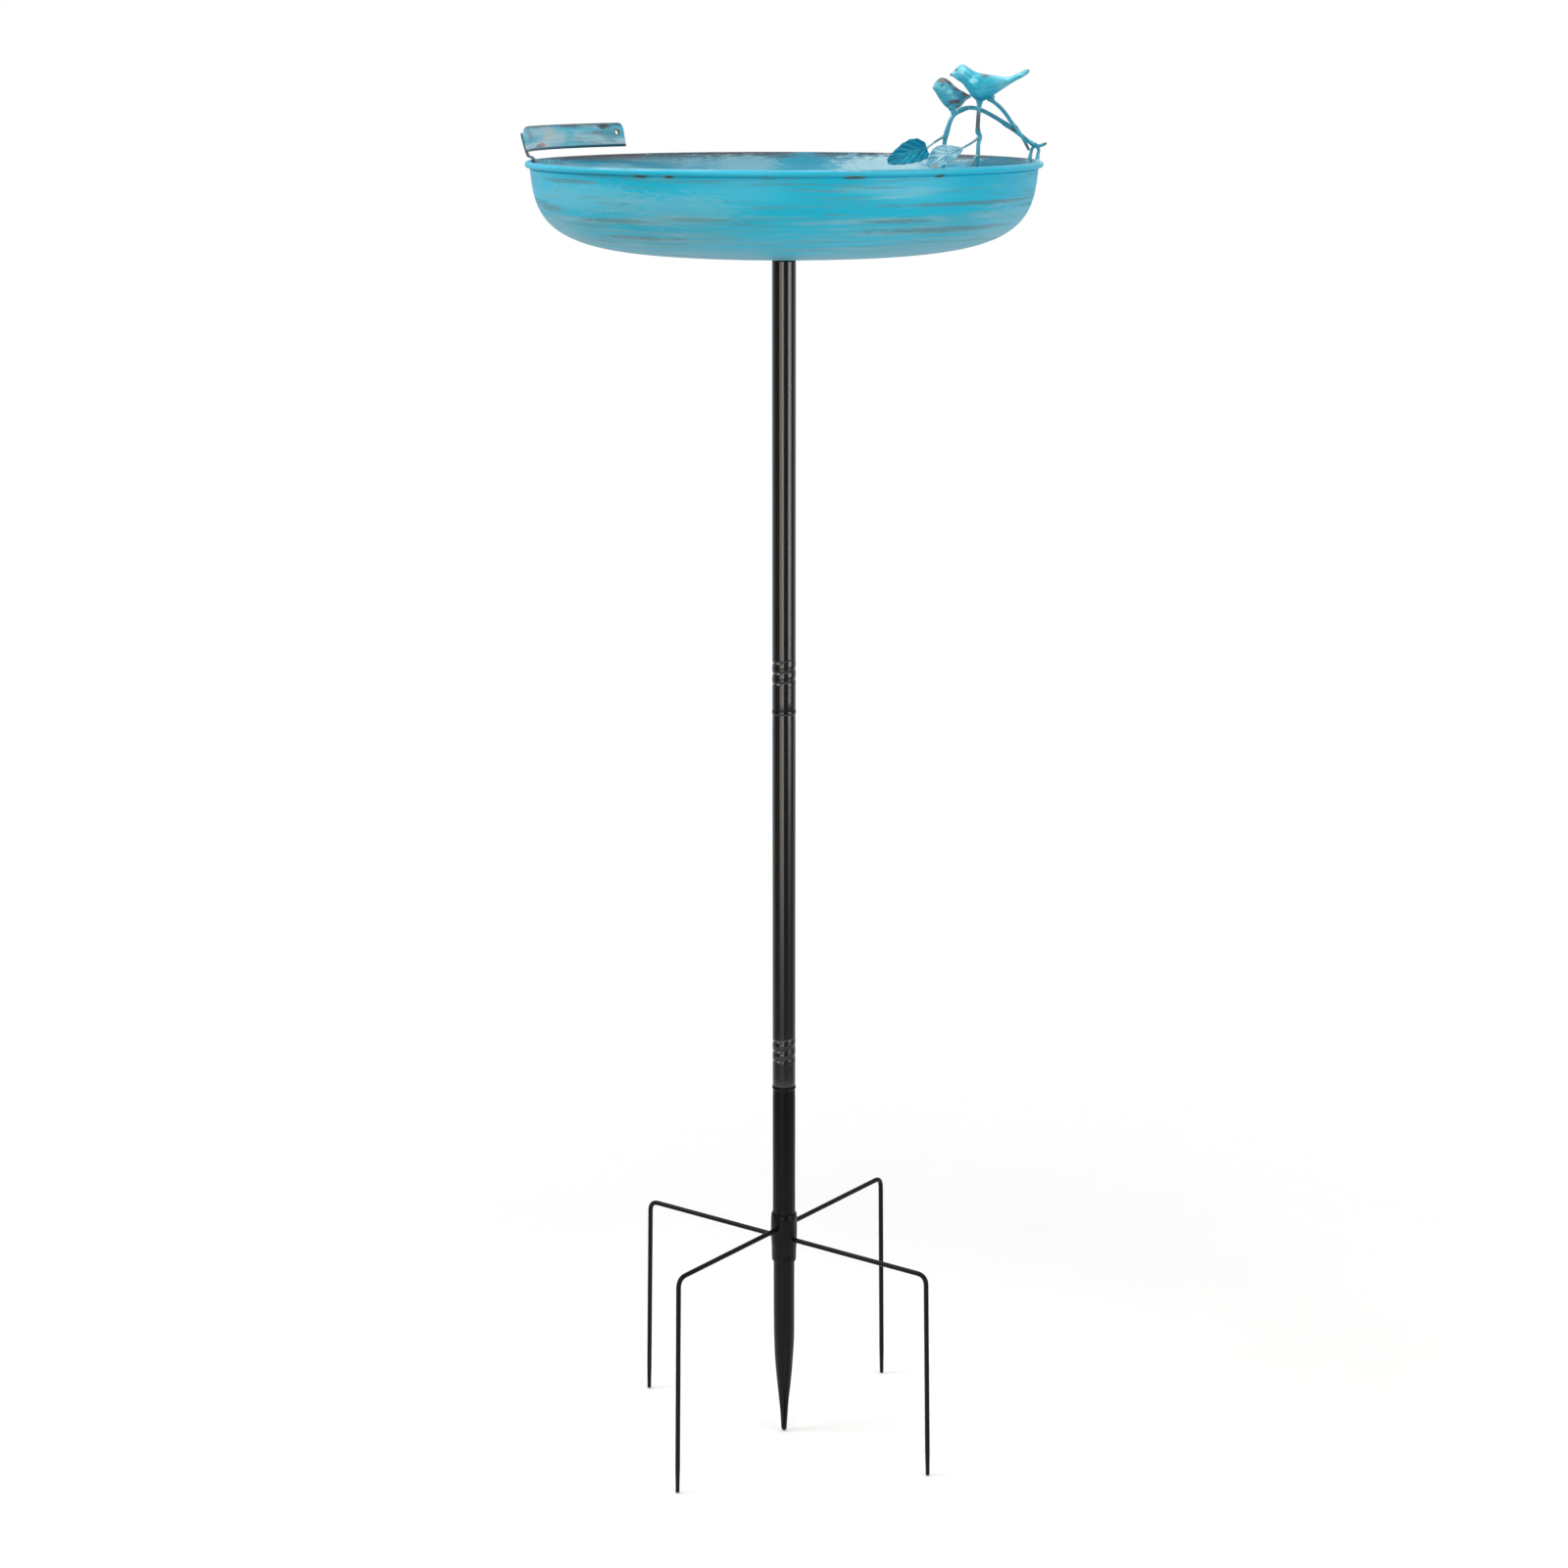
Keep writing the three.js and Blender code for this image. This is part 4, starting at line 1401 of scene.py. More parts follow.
@dataclass
class Dish:
    """The spun dish with its rolled rim, and the screwed mounting beneath it."""

    levels: Levels
    wall: float = 1.2 * MM
    bead: float = 2.0 * MM
    flat_radius: float = 66 * MM
    flare: float = 2.6 * MM
    unevenness: float = 0.14 * MM
    ripple: float = 0.05 * MM
    wall_steps: int = 60
    sides: int = 240

    def wall_point(self, share: float, inset: float = 0.0) -> Pair:
        """A point on the wall between the flat of the floor and the rim, heights below the rim.

        Args:
            share: 0 at the floor, 1 at the rim.
            inset: how far inside the outer skin.

        Returns:
            Radius and height.
        """
        depth = self.levels.rim - self.levels.bowl_base
        top = self.levels.bowl_radius - 1.5 * self.bead
        frame_points = (
            (self.flat_radius, -depth),
            (top - 5 * MM, -depth + 0.5 * MM),
            (top - self.flare, -depth * 0.55),
            (top, -2 * self.bead),
        )
        x, z = cubic(frame_points, share)
        x2, z2 = cubic(frame_points, min(share + 0.001, 1.001))
        length = math.hypot(x2 - x, z2 - z)
        return x - (z2 - z) / length * inset, z + (x2 - x) / length * inset

    def inside_spots(self) -> Profile:
        """Points up the inside of the wall, heights below the rim."""
        return [self.wall_point(step / self.wall_steps, self.wall) for step in range(self.wall_steps + 1)]

    def inner_radius(self, height: float) -> float:
        """Distance from the axis to the inside of the wall at a height below the rim."""
        return min(self.inside_spots(), key=lambda spot: abs(spot[1] - height))[0]

    def floor_height(self, radius: float) -> float:
        """Height of the inside, below the rim, at a distance from the axis.

        Args:
            radius: the distance.

        Returns:
            The height.
        """
        if radius < self.flat_radius:
            return self.wall_point(0, self.wall)[1]
        return min(self.inside_spots(), key=lambda spot: abs(spot[0] - radius))[1]

    def profile(self) -> tuple[Profile, int]:
        """The dish's whole section from the middle of its underside to the middle of its floor.

        Returns:
            The section with heights in the frame, and how many of its rows are outside.
        """
        depth = self.levels.rim - self.levels.bowl_base
        centre = (self.levels.bowl_radius - self.bead, -self.bead)
        outside: Profile = [(0.0, -depth + 0.35 * MM), (10 * MM, -depth + 0.35 * MM), (16 * MM, -depth)]
        outside += [(self.flat_radius * share, -depth) for share in (0.4, 0.6, 0.8, 0.93)]
        steps = 56
        outside += [self.wall_point(step / steps) for step in range(steps)]
        neck_x, neck_z = self.wall_point(0.985)
        outside += [(neck_x + 0.05 * MM, neck_z + 0.2 * MM), (neck_x - 0.55 * MM, neck_z + 0.9 * MM)]
        outside += [(neck_x - 0.65 * MM, neck_z + 1.5 * MM)]
        rim = arc(centre, self.bead, -112, 118, 18)
        inside = [self.wall_point(step / steps, self.wall) for step in range(steps, -1, -1)]
        floor, raised = -depth + self.wall, 0.4 * MM
        inside += [(self.flat_radius * share, floor) for share in (0.85, 0.6, 0.35)]
        inside += [(18 * MM, floor), (11 * MM, floor + raised), (0.0, floor + raised)]
        rows = outside + rim + inside
        return [(x, z + self.levels.rim) for x, z in rows], len(outside) + len(rim) * 2 // 3

    def spun(self, bearing: float, radius: float, z: float) -> Pair:
        """Let the skin stray as spun sheet does: a rim that isn't quite true and faint rings.

        Args:
            bearing: in radians.
            radius: as designed.
            z: as designed.

        Returns:
            Radius and height.
        """
        if radius < TINY:
            return radius, z
        out = radius / self.levels.bowl_radius
        stray = self.unevenness * (math.cos(3 * bearing + 0.7) + 0.6 * math.cos(5 * bearing + 2.0) - 1.6)
        rings = self.ripple * math.sin(z * FULL_TURN / (4.6 * MM))
        return radius + out**4 * (stray + rings - self.ripple), z + out**6 * stray * 0.6

    def shell(self) -> Piece:
        """The dish itself, its inside and outside dressed apart.

        Returns:
            The object.
        """
        rows, outside = self.profile()
        made = lathe("dish_shell", rows, self.sides, self.spun)
        first = self.sides * (outside - 1)
        for face in made.data.polygons:
            face.material_index = int(face.index >= first)
        return made

    def flange(self) -> Piece:
        """The pressed disc under the dish.

        Returns:
            The object.
        """
        low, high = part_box("bowl_flange")
        sheet_wall = 1.2 * MM
        radius, hole = high.x, 4.1 * MM
        edge = arc((radius - sheet_wall / 2, high.z - sheet_wall / 2), sheet_wall / 2, -90, 90, 8)
        rows = [(hole, low.z), (7.6 * MM, low.z), (8.6 * MM, low.z + 0.35 * MM), (9.6 * MM, low.z + 1.5 * MM)]
        rows += [(10.6 * MM, high.z - sheet_wall), *edge, (9.4 * MM, high.z), (8.2 * MM, high.z - 0.5 * MM)]
        rows += [(7.2 * MM, low.z + sheet_wall), (hole, low.z + sheet_wall)]
        return lathe("dish_flange", rows, 96)

    def threaded(self, name: str, low: float, high: float, radius: float, lead: float,
                 cap: Profile) -> Piece:
        """A screw thread with what is above it.

        Args:
            name: the object's name.
            low: height of its lower end.
            high: height where the thread stops.
            radius: over the thread's crests.
            lead: pitch of the thread.
            cap: the section above the thread, ending on the axis.

        Returns:
            The object.
        """
        count = int((high - low) / lead * 8)
        depth = 0.5 * MM
        rows = [(0.0, low), (radius - 0.9 * MM, low)]
        rows += [(radius, blend(low + 0.6 * MM, high, row / count)) for row in range(count + 1)]
        rows += cap

        def cut(bearing: float, near: float, z: float) -> Pair:
            """Cut the thread.

            Args:
                bearing: in radians.
                near: radius of the point.
                z: its height.

            Returns:
                The new radius and height.
            """
            if abs(near - radius) > TINY or z >= high:
                return near, z
            phase = ((z - low) / lead - bearing / FULL_TURN) % 1
            return near - depth * (1 - abs(2 * phase - 1)), z

        return lathe(name, rows, 36, cut)

    def stud(self) -> Piece:
        """The screw that hangs from the flange, with its thin round head.

        Returns:
            The object.
        """
        low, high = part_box("bowl_stud")
        thread, pitch = 3.8 * MM, 1.25 * MM
        cap = [(thread, high.z - 1.25 * MM), (5.9 * MM, high.z - 1.2 * MM), (6.2 * MM, high.z - 0.8 * MM)]
        cap += [(5.6 * MM, high.z - 0.15 * MM), (3 * MM, high.z), (0.0, high.z)]
        return self.threaded("dish_stud", low.z, high.z - 1.6 * MM, thread, pitch, cap)

    def washer(self) -> Piece:
        """The rubber ring that the flange sits on.

        Returns:
            The object.
        """
        low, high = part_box("seat_washer")
        half = (high.z - low.z) / 2
        hole, softened, chamfer = 4.4 * MM, 4.6 * MM, 0.2 * MM
        rows = [(hole, low.z + chamfer), (softened, low.z)]
        rows += arc((high.x - half, (low.z + high.z) / 2), half, -90, 90, 8)
        rows += [(softened, high.z), (hole, high.z - chamfer)]
        return lathe("seat_ring", rows, 64)

    def insert(self) -> Piece:
        """The nut in the top of the pole, chamfered inside and out.

        Returns:
            The object.
        """
        low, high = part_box("pole_nut")
        bore, mouth = 4.3 * MM, 4.9 * MM
        rows = [(high.x, low.z + 0.5 * MM), (high.x, high.z - 0.5 * MM), (high.x - 0.4 * MM, high.z)]
        rows += [(mouth, high.z), (bore, high.z - 0.6 * MM), (bore, low.z + 0.6 * MM)]
        rows += [(mouth, low.z), (high.x - 0.4 * MM, low.z)]
        return lathe("threaded_insert", rows, 48)

    def paints(self) -> tuple[bpy.types.Material, bpy.types.Material]:
        """The brushed paint outside and inside.

        Returns:
            Both materials, the outside's first.
        """
        outside = BrushedPaint(
            "dish_outside_paint", "#0db9db", "#50afc6", "#8fc6d5", "#5b8c94", "#5a5249",
            stroking=(0.52, 0.62), streaks=0.6, edge=self.levels.rim, edge_depth=1.6 * MM, edge_glaze=0.2,
            low=self.levels.bowl_base, patches=self.rim_patches() + self.long_strokes())
        inside = BrushedPaint(
            "dish_inside_paint", "#2aa1be", "#68aabb", "#b4cdd2", "#5f7d84", "#4e3732", dulling=(0.36, 0.6),
            washing=(0.46, 0.62), edge=self.levels.rim, edge_depth=9 * MM, edge_glaze=0.9, edge_from=-0.03,
            low=self.levels.bowl_base, patches=self.inner_patches())
        return outside.build(), inside.build()

    def build(self) -> None:
        """Make the dish, its mounting and the seat on top of the pole."""
        place(self.shell(), Body.DISH, Slot.BLUE, "bowl", *self.paints())
        black = PowderCoat("mounting_powder_coat").build()
        zinc = ZincPlate().build()
        place(self.flange(), Body.DISH, Slot.BLACK, "bowl_flange", black)
        place(self.stud(), Body.DISH, Slot.ZINC, "bowl_stud", zinc)
        place(self.washer(), Body.UPPER, Slot.RUBBER, "seat_washer", Rubber().build())
        place(self.insert(), Body.UPPER, Slot.ZINC, "pole_nut", zinc)

    def on_wall(self, bearing: float, down: float) -> Vector:
        """A point of the wall at a bearing in degrees and a distance below the rim in millimetres."""
        return polar(self.levels.bowl_radius - 4 * MM, bearing, self.levels.rim - down * MM)

    def inner_patches(self) -> tuple[Patch, ...]:
        """The paler and deeper stretches of the inside, high on the far wall.

        Returns:
            The patches.
        """
        rows = (
            (64, 9, 44, "#c6dee3", 0.75), (100, 9, 26, "#a9cbd3", 0.55), (122, 9, 20, "#3f8fa4", 0.5),
            (84, 7, 15, "#2797b3", 0.6), (27, 6, 34, "#1b748b", 0.9))
        return tuple(Patch.at(self.on_wall(bearing, down), (length, 40, 8), colour, strength)
                     for bearing, down, length, colour, strength in rows)

    def long_strokes(self) -> tuple[Patch, ...]:
        """The longest strokes of glaze on the outside and the palest places between them.

        Returns:
            The patches.
        """
        strokes = (
            (-43, 21, 82, 1.5), (-46, 36, 80, 2.0), (-64, 30, 30, 1.3), (214, 9, 36, 1.6),
            (203, 26, 26, 2.8), (229, 31, 34, 1.5), (233, 41, 40, 1.6), (250, 29, 24, 1.3))
        pale = ((222, 18, 56, 10), (246, 24, 46, 12), (-24, 34, 44, 14), (200, 40, 40, 9))
        made = []
        for rows, colour, strength in ((strokes, "#56757b", 0.58), (pale, "#8fc7d7", 0.3)):
            for bearing, down, length, high in rows:
                size = (length, length, high)
                made.append(Patch.at(self.on_wall(bearing, down), size, colour, strength, 0.8))
        return tuple(made)

    def rim_patches(self) -> tuple[Patch, ...]:
        """Places where the glaze shows in the groove under the rolled rim.

        Returns:
            The patches.
        """
        made = []
        for bearing, length in ((238, 7), (245, 4), (285, 9), (305, 5)):
            centre = polar(self.levels.bowl_radius - 2.5 * MM, bearing, self.levels.rim - 4.6 * MM)
            made.append(Patch.at(centre, (length, 5, 1.1), "#5d4d38", 0.85, 0.5))
        return tuple(made)


# ---------------------------------------------------------------- rim strap


@dataclass
class RimStrap:
    """The upright strap along the rim at the back left, and the leg that holds it."""

    dish: Dish
    height: float = 15.6 * MM
    thickness: float = 1.2 * MM
    lift: float = 4.6 * MM
    outset: float = -1.4 * MM
    lean: float = 14.5
    start: float = 177.5
    end: float = 130.7
    left_corner: Pair = (24 * MM, 7 * MM)
    right_corner: Pair = (3.5 * MM, 3.5 * MM)
    hole_radius: float = 1.5 * MM
    hole_inset: float = 2.1
    leg_width: float = 8 * MM
    leg_inset: float = 1.6
    dimple: float = 0.9 * MM
    dimple_columns: Pair = (92 * MM, 99 * MM)
    dimple_rows: Pair = (5.5 * MM, 10 * MM)

    def at(self, up: float, bearing: float) -> Vector:
        """A point on the strap's middle.

        Args:
            up: distance up the leaning strap.
            bearing: in degrees.

        Returns:
            The point in the frame.
        """
        lean = math.radians(self.lean)
        radius = self.dish.levels.bowl_radius + self.outset + up * math.sin(lean)
        return polar(radius, bearing, self.dish.levels.rim + self.lift + up * math.cos(lean))

    def surface(self, u: float, v: float) -> Vector:
        """The strap's middle, with its rounded corners, its dimples and its hand-bent waver.

        Args:
            u: share along, from the leg to the free end.
            v: share up.

        Returns:
            The point in the frame.
        """
        span = self.start - self.end
        length = math.radians(span) * self.dish.levels.bowl_radius
        along = (1 - math.cos(math.pi * u)) / 2
        drop = 0.0
        corners = ((along * length, self.left_corner), ((1 - along) * length, self.right_corner))
        for distance, (wide, high) in corners:
            inset = max(1 - distance / wide, 0.0)
            drop += high * (1 - math.sqrt(1 - inset**2))
        up = (self.height - drop) * v
        bearing = self.start - span * along
        point = self.at(up, bearing)
        dent = 0.0
        for across in self.dimple_columns:
            for level in self.dimple_rows:
                gap = math.hypot(along * length - across, up - level)
                dent += math.exp(-((gap / self.dimple) ** 2))
        waver = 0.25 * MM * math.sin(7 * along + 1) - 0.35 * MM * dent
        return point + polar(waver, bearing)

    def leg(self) -> Piece:
        """The leg: down the strap's back, over the rim bead and down inside the wall.

        Returns:
            The object.
        """
        dish = self.dish
        rim, radius = dish.levels.rim, dish.levels.bowl_radius
        lean = math.radians(self.lean)
        beside = self.thickness + 0.3 * MM
        bead = radius - dish.bead

        def on_strap(up: float) -> Vector:
            """A point on the strap's outer face."""
            point = self.at(up, 0)
            return Vector((point.x + beside * math.cos(lean), 0, point.z - beside * math.sin(lean)))

        def in_dish(height: float) -> Vector:
            """A point just inside the wall."""
            return Vector((dish.inner_radius(height) - 0.9 * MM, 0, rim + height))

        route = [on_strap(self.height * 0.78), on_strap(self.height * 0.4), on_strap(1.5 * MM)]
        route += [Vector((bead + 0.9 * MM, 0, rim + 1.9 * MM)), Vector((bead - 1 * MM, 0, rim + 1.3 * MM))]
        route += [Vector((bead - 3.5 * MM, 0, rim - 2 * MM)), in_dish(-9 * MM), in_dish(-18 * MM)]
        spans = 60
        path = through(route, spans)

        def surface(u: float, v: float) -> Vector:
            """The leg's middle, with rounded corners at both ends.

            Args:
                u: share down the leg.
                v: share across it.

            Returns:
                The point, with the leg on the X axis.
            """
            before = min(int(u * spans), spans - 1)
            at = path[before].lerp(path[before + 1], u * spans - before)
            ends = min(u, 1 - u) * 12
            half = self.leg_width / 2 * (1 if ends > 1 else math.sqrt(max(1 - (1 - ends) ** 2 * 0.75, 0)))
            return Vector((at.x, (2 * v - 1) * half, at.z))

        made = sheet("strap_leg", surface, 90, 12, self.thickness)
        made.data.transform(Matrix.Rotation(math.radians(self.start - self.leg_inset), 4, "Z"))
        return made

    def build(self) -> None:
        """Make the strap and its leg."""
        strap = sheet("rim_strap", self.surface, 230, 30, self.thickness)
        bearing = self.end + self.hole_inset
        hole = self.at(self.height * 0.6, bearing)
        lean = math.radians(self.lean)
        through_strap = polar(math.cos(lean), bearing, -math.sin(lean)) * 4 * MM
        drill = sweep("drill", [hole - through_strap, hole, hole + through_strap],
                      lambda share: self.hole_radius, sides=28)
        punch(strap, drill)
        # The strap's lowest 1.5 mm takes the dark coat as painted shade along its bottom edge.
        foot = self.at(1.5 * MM, 0).z
        for face in strap.data.polygons:
            face.material_index = int(face.center.z < foot)
        paint = BrushedPaint(
            "strap_paint", "#45abc3", "#79b3c1", "#a8c4cc", "#6a8288", "#4a3b34", Flow.LEVEL, (0.5, 0.75),
            (0.46, 0.6), streaks=0.65, low=self.at(0, 0).z, edge=self.at(self.height, 0).z,
            edge_depth=3.5 * MM, edge_glaze=0.8, patches=self.patches())
        # A dark teal coat that paints shade on the leg and along the strap's bottom edge.
        dark = CastPaint("strap_leg_paint", "#0b4d60", "#1f7f96", "#2b2623", (0.55, 0.8)).build()
        place(strap, Body.DISH, Slot.BLUE, "rim_band", paint.build(), dark)
        place(self.leg(), Body.DISH, Slot.TEAL, "band_leg", dark)

    def patches(self) -> tuple[Patch, ...]:
        """The strap's worn and spotted places.

        Returns:
            The patches.
        """
        rows = (
            (0.9, 8, 9, 6, "#4f8797", 0.55), (0.955, 9.4, 3.2, 2.6, "#6a3f33", 0.85),
            (0.87, 13.5, 7, 1.6, "#3c2a26", 0.8), (0.62, 14.5, 14, 1.4, "#5c504a", 0.6),
            (0.3, 3.2, 5, 1.8, "#b5603f", 0.7), (0.24, 2.4, 6, 1.6, "#5a3a2c", 0.65),
            (0.14, 10, 7, 4, "#5f7f86", 0.6), (0.4, 9, 11, 4.5, "#b9beb2", 0.55),
            (0.6, 9, 7, 5, "#35a9c4", 0.6), (0.82, 9.5, 6, 1.2, "#7a6a62", 0.6))
        made = []
        for share, up, wide, high, colour, strength in rows:
            centre = self.at(up * MM, blend(self.start, self.end, share))
            made.append(Patch.at(centre, (wide, wide, high), colour, strength))
        return tuple(made)


# ---------------------------------------------------------------- perch ornament


@dataclass(frozen=True)
class Wire:
    """A wire of the ornament: points in millimetres from the ornament's foot, and where it swells."""

    name: str
    node: str
    points: tuple[Triple, ...]
    radius: float
    steps: int = 60
    swells: tuple[Triple, ...] = ()
    faded: bool = False

    def thickness(self, share: float) -> float:
        """The radius in metres at a share of the wire.

        Args:
            share: 0 at its first point, 1 at its last.

        Returns:
            The radius.
        """
        extra = sum(gain * math.exp(-(((share - at) / wide) ** 2)) for at, gain, wide in self.swells)
        return self.radius * MM * (1 + extra)


@dataclass(frozen=True)
class Leaf:
    """A leaf on a bowed midrib, pressed from sheet, in millimetres from the ornament's foot."""

    name: str
    node: str
    base: Triple
    tip: Triple
    side: Triple
    high: float
    low: float
    belly: float
    lift: float
    bow: float
    lip: float
    ribs: int = 6
    columns: int = 110
    rows: int = 64
    rib_slant: float = 0.42
    rib_height: float = 0.5
    midrib_size: float = 0.75
    midrib_width: float = 0.7
    notch_slant: float = 0.3
    notch_depth: float = 0.035

    def rib(self, u: float, edge: float) -> float:
        """How far a place lies up the side ribs, from -1 to 1, by shares along and out from the midrib."""
        return math.cos(math.pi * 2 * self.ribs * (u - self.rib_slant * edge)) ** 3

    def mark_veins(self, made: Piece) -> None:
        """Give the second material to the creases between the ribs and to both sides of the midrib.

        Args:
            made: the leaf's mesh, as sheet makes it.
        """
        around = 2 * (self.rows + 1)
        for face in made.data.polygons[: self.columns * around]:
            column, row = divmod(face.index, around)
            if row > self.rows:
                row = around - 1 - row
            edge = abs(2 * (row + 0.5) / self.rows - 1)
            crease = self.rib((column + 0.5) / self.columns, edge) < -0.55 and 0.1 < edge < 0.9
            face.material_index = int(crease or 0.03 < edge < 0.07)

    def surface(self, foot: Vector) -> Callable[[float, float], Vector]:
        """The leaf's middle as a function for sheet.

        Args:
            foot: the ornament's foot in the frame.

        Returns:
            The function.
        """
        base, tip = Vector(self.base), Vector(self.tip)
        along = tip - base
        across = Vector(self.side).normalized()
        up = along.cross(across).normalized()

        def point(u: float, v: float) -> Vector:
            """A point on the leaf.

            Args:
                u: share along it.
                v: share across it.

            Returns:
                The point in the frame.
            """
            from_base = 0.04 + 0.92 * u
            outline = math.sin(math.pi * from_base**self.belly) ** 0.7
            reach = (2 * v - 1) * outline
            edge = abs(2 * v - 1)
            wide = self.low if reach > 0 else self.high
            waves = math.sin(math.pi * 2 * self.ribs * (u - self.notch_slant * edge))
            notch = 1 + self.notch_depth * waves * smooth_step(0.7, 1, edge)
            curl = self.lift * reach**2 + self.bow * math.sin(math.pi * u)
            rib = self.rib(u, edge)
            fade = smooth_step(0.03, 0.2, edge) * (1 - 0.5 * smooth_step(0.8, 1, edge)) * outline
            midrib = self.midrib_size * math.exp(-((edge * wide / self.midrib_width) ** 2))
            height = curl + self.rib_height * rib * fade + midrib
            turned = self.lip * smooth_step(0.78, 1, edge) * outline if reach > 0 else 0.0
            offset = reach * wide * notch
            return foot + (base + along * u + across * offset + up * (height + turned)) * MM

        return point


@dataclass(frozen=True)
class Bird:
    """A cast bird in millimetres from the tip of its beak, its tail towards +X."""

    name: str
    node: str
    beak: Triple
    turn: float
    rows: tuple[tuple[float, float, float, float], ...]
    wing: tuple[float, float, float, float]
    wing_height: float
    wing_out: float
    eye: Triple
    pads: tuple[tuple[float, float, float, float, float, float], ...] = ()

    def body(self) -> Piece:
        """The body and head as one smooth loft.

        Returns:
            The object, in metres from the beak.
        """
        count, samples = 90, 400
        least, fill = 0.15, 0.3
        dense = through([Vector((x, middle, high)) for x, middle, high, _ in self.rows], samples)
        wide = through([Vector((x, half, 0)) for x, _, _, half in self.rows], samples)
        length = self.rows[-1][0]
        rings = []
        for step in range(count + 1):
            along = length * (1 - math.cos(math.pi * step / count)) / 2
            spot = min(dense, key=lambda point: abs(point.x - along))
            width = min(wide, key=lambda point: abs(point.x - along)).y
            swell = fill * smooth_step(0, 6, along) * smooth_step(0, 6, length - along)
            rings.append(oval((along, 0, spot.y), max(width, least) + swell, max(spot.z, least) + swell, 40))
        return loft(self.name + "_body", rings)

    def wings(self) -> list[Piece]:
        """Both wings as three overlapping layers of feathers each.

        Returns:
            The objects, in metres from the beak.
        """
        start, end, top, bottom = self.wing
        steps, tilt = 24, 14
        shorter, closer, lower, thinner = 0.2, 0.175, 0.16, 0.15
        made = []
        for side in (-1, 1):
            for layer in range(3):
                reach = end - layer * shorter * (end - start)
                out = side * (self.wing_out - closer * layer)
                rings = []
                for step in range(steps + 1):
                    share = step / steps
                    outline = math.sin(math.pi * share**0.55) ** 0.75
                    half = self.wing_height * (1 - lower * layer) * outline + 0.12
                    inwards = out * (1 - 0.45 * share**2)
                    centre = (blend(start, reach, share), inwards, blend(top, bottom, share))
                    rings.append(oval(centre, 1.15 - thinner * layer, half, 20, side * tilt))
                made.append(loft(f"{self.name}_wing", rings))
        return made

    def details(self) -> list[Piece]:
        """The beak, the eyes and the lumps of weld that hold the bird.

        Returns:
            The objects, in metres from the beak.
        """
        x, y, z = self.eye
        lumps = [(x, side * y, z, 0.75, 0.6, 0.75) for side in (-1, 1)]
        lumps += list(self.pads)
        steps = 12
        made = []
        for number, (cx, cy, cz, rx, ry, rz) in enumerate(lumps):
            rings = []
            for step in range(steps + 1):
                angle = math.pi * (0.04 + 0.92 * step / steps)
                girth = math.sin(angle)
                rings.append(oval((cx - rx * math.cos(angle), cy, cz), ry * girth, rz * girth, 20))
            made.append(loft(f"{self.name}_lump_{number}", rings))
        beak = [oval((3.4 * share, 0, -0.1 + 0.9 * share), 0.25 + share, 0.22 + share, 16)
                for share in (0, 0.25, 0.5, 0.75, 1)]
        made.append(loft(f"{self.name}_beak", beak))
        return made

    def build(self, foot: Vector) -> Piece:
        """Fuse the casting and set it in place.

        Args:
            foot: the ornament's foot in the frame.

        Returns:
            The object.
        """
        parts = [self.body(), *self.wings(), *self.details()]
        made = fuse(self.name, parts, voxel=0.28 * MM, rounds=5)
        turned = Matrix.Rotation(math.radians(self.turn), 4, "Z")
        made.data.transform(Matrix.Translation(foot + Vector(self.beak) * MM) @ turned)
        return made

    def spot(self, foot: Vector, at: Triple) -> Vector:
        """Where a point of the bird lies in the frame.

        Args:
            foot: the ornament's foot in the frame.
            at: millimetres from the beak.

        Returns:
            The point in metres.
        """
        turned = Matrix.Rotation(math.radians(self.turn), 4, "Z") @ Vector(at)
        return foot + (Vector(self.beak) + turned) * MM


def oval(centre: Triple, half_width: float, half_height: float, sides: int,
         tilt: float = 0.0) -> list[Vector]:
    """An upright oval ring across the X axis, given in millimetres and made in metres.

    Args:
        centre: its centre.
        half_width: along Y.
        half_height: along Z.
        sides: points round it.
        tilt: degrees that its top leans towards -Y.

    Returns:
        The ring.
    """
    ring = []
    lean = math.radians(tilt)
    for step in range(sides):
        angle = FULL_TURN * step / sides
        y, z = half_width * math.cos(angle), half_height * math.sin(angle)
        across = y * math.cos(lean) - z * math.sin(lean)
        upright = y * math.sin(lean) + z * math.cos(lean)
        ring.append(Vector((centre[0], centre[1] + across, centre[2] + upright)) * MM)
    return ring


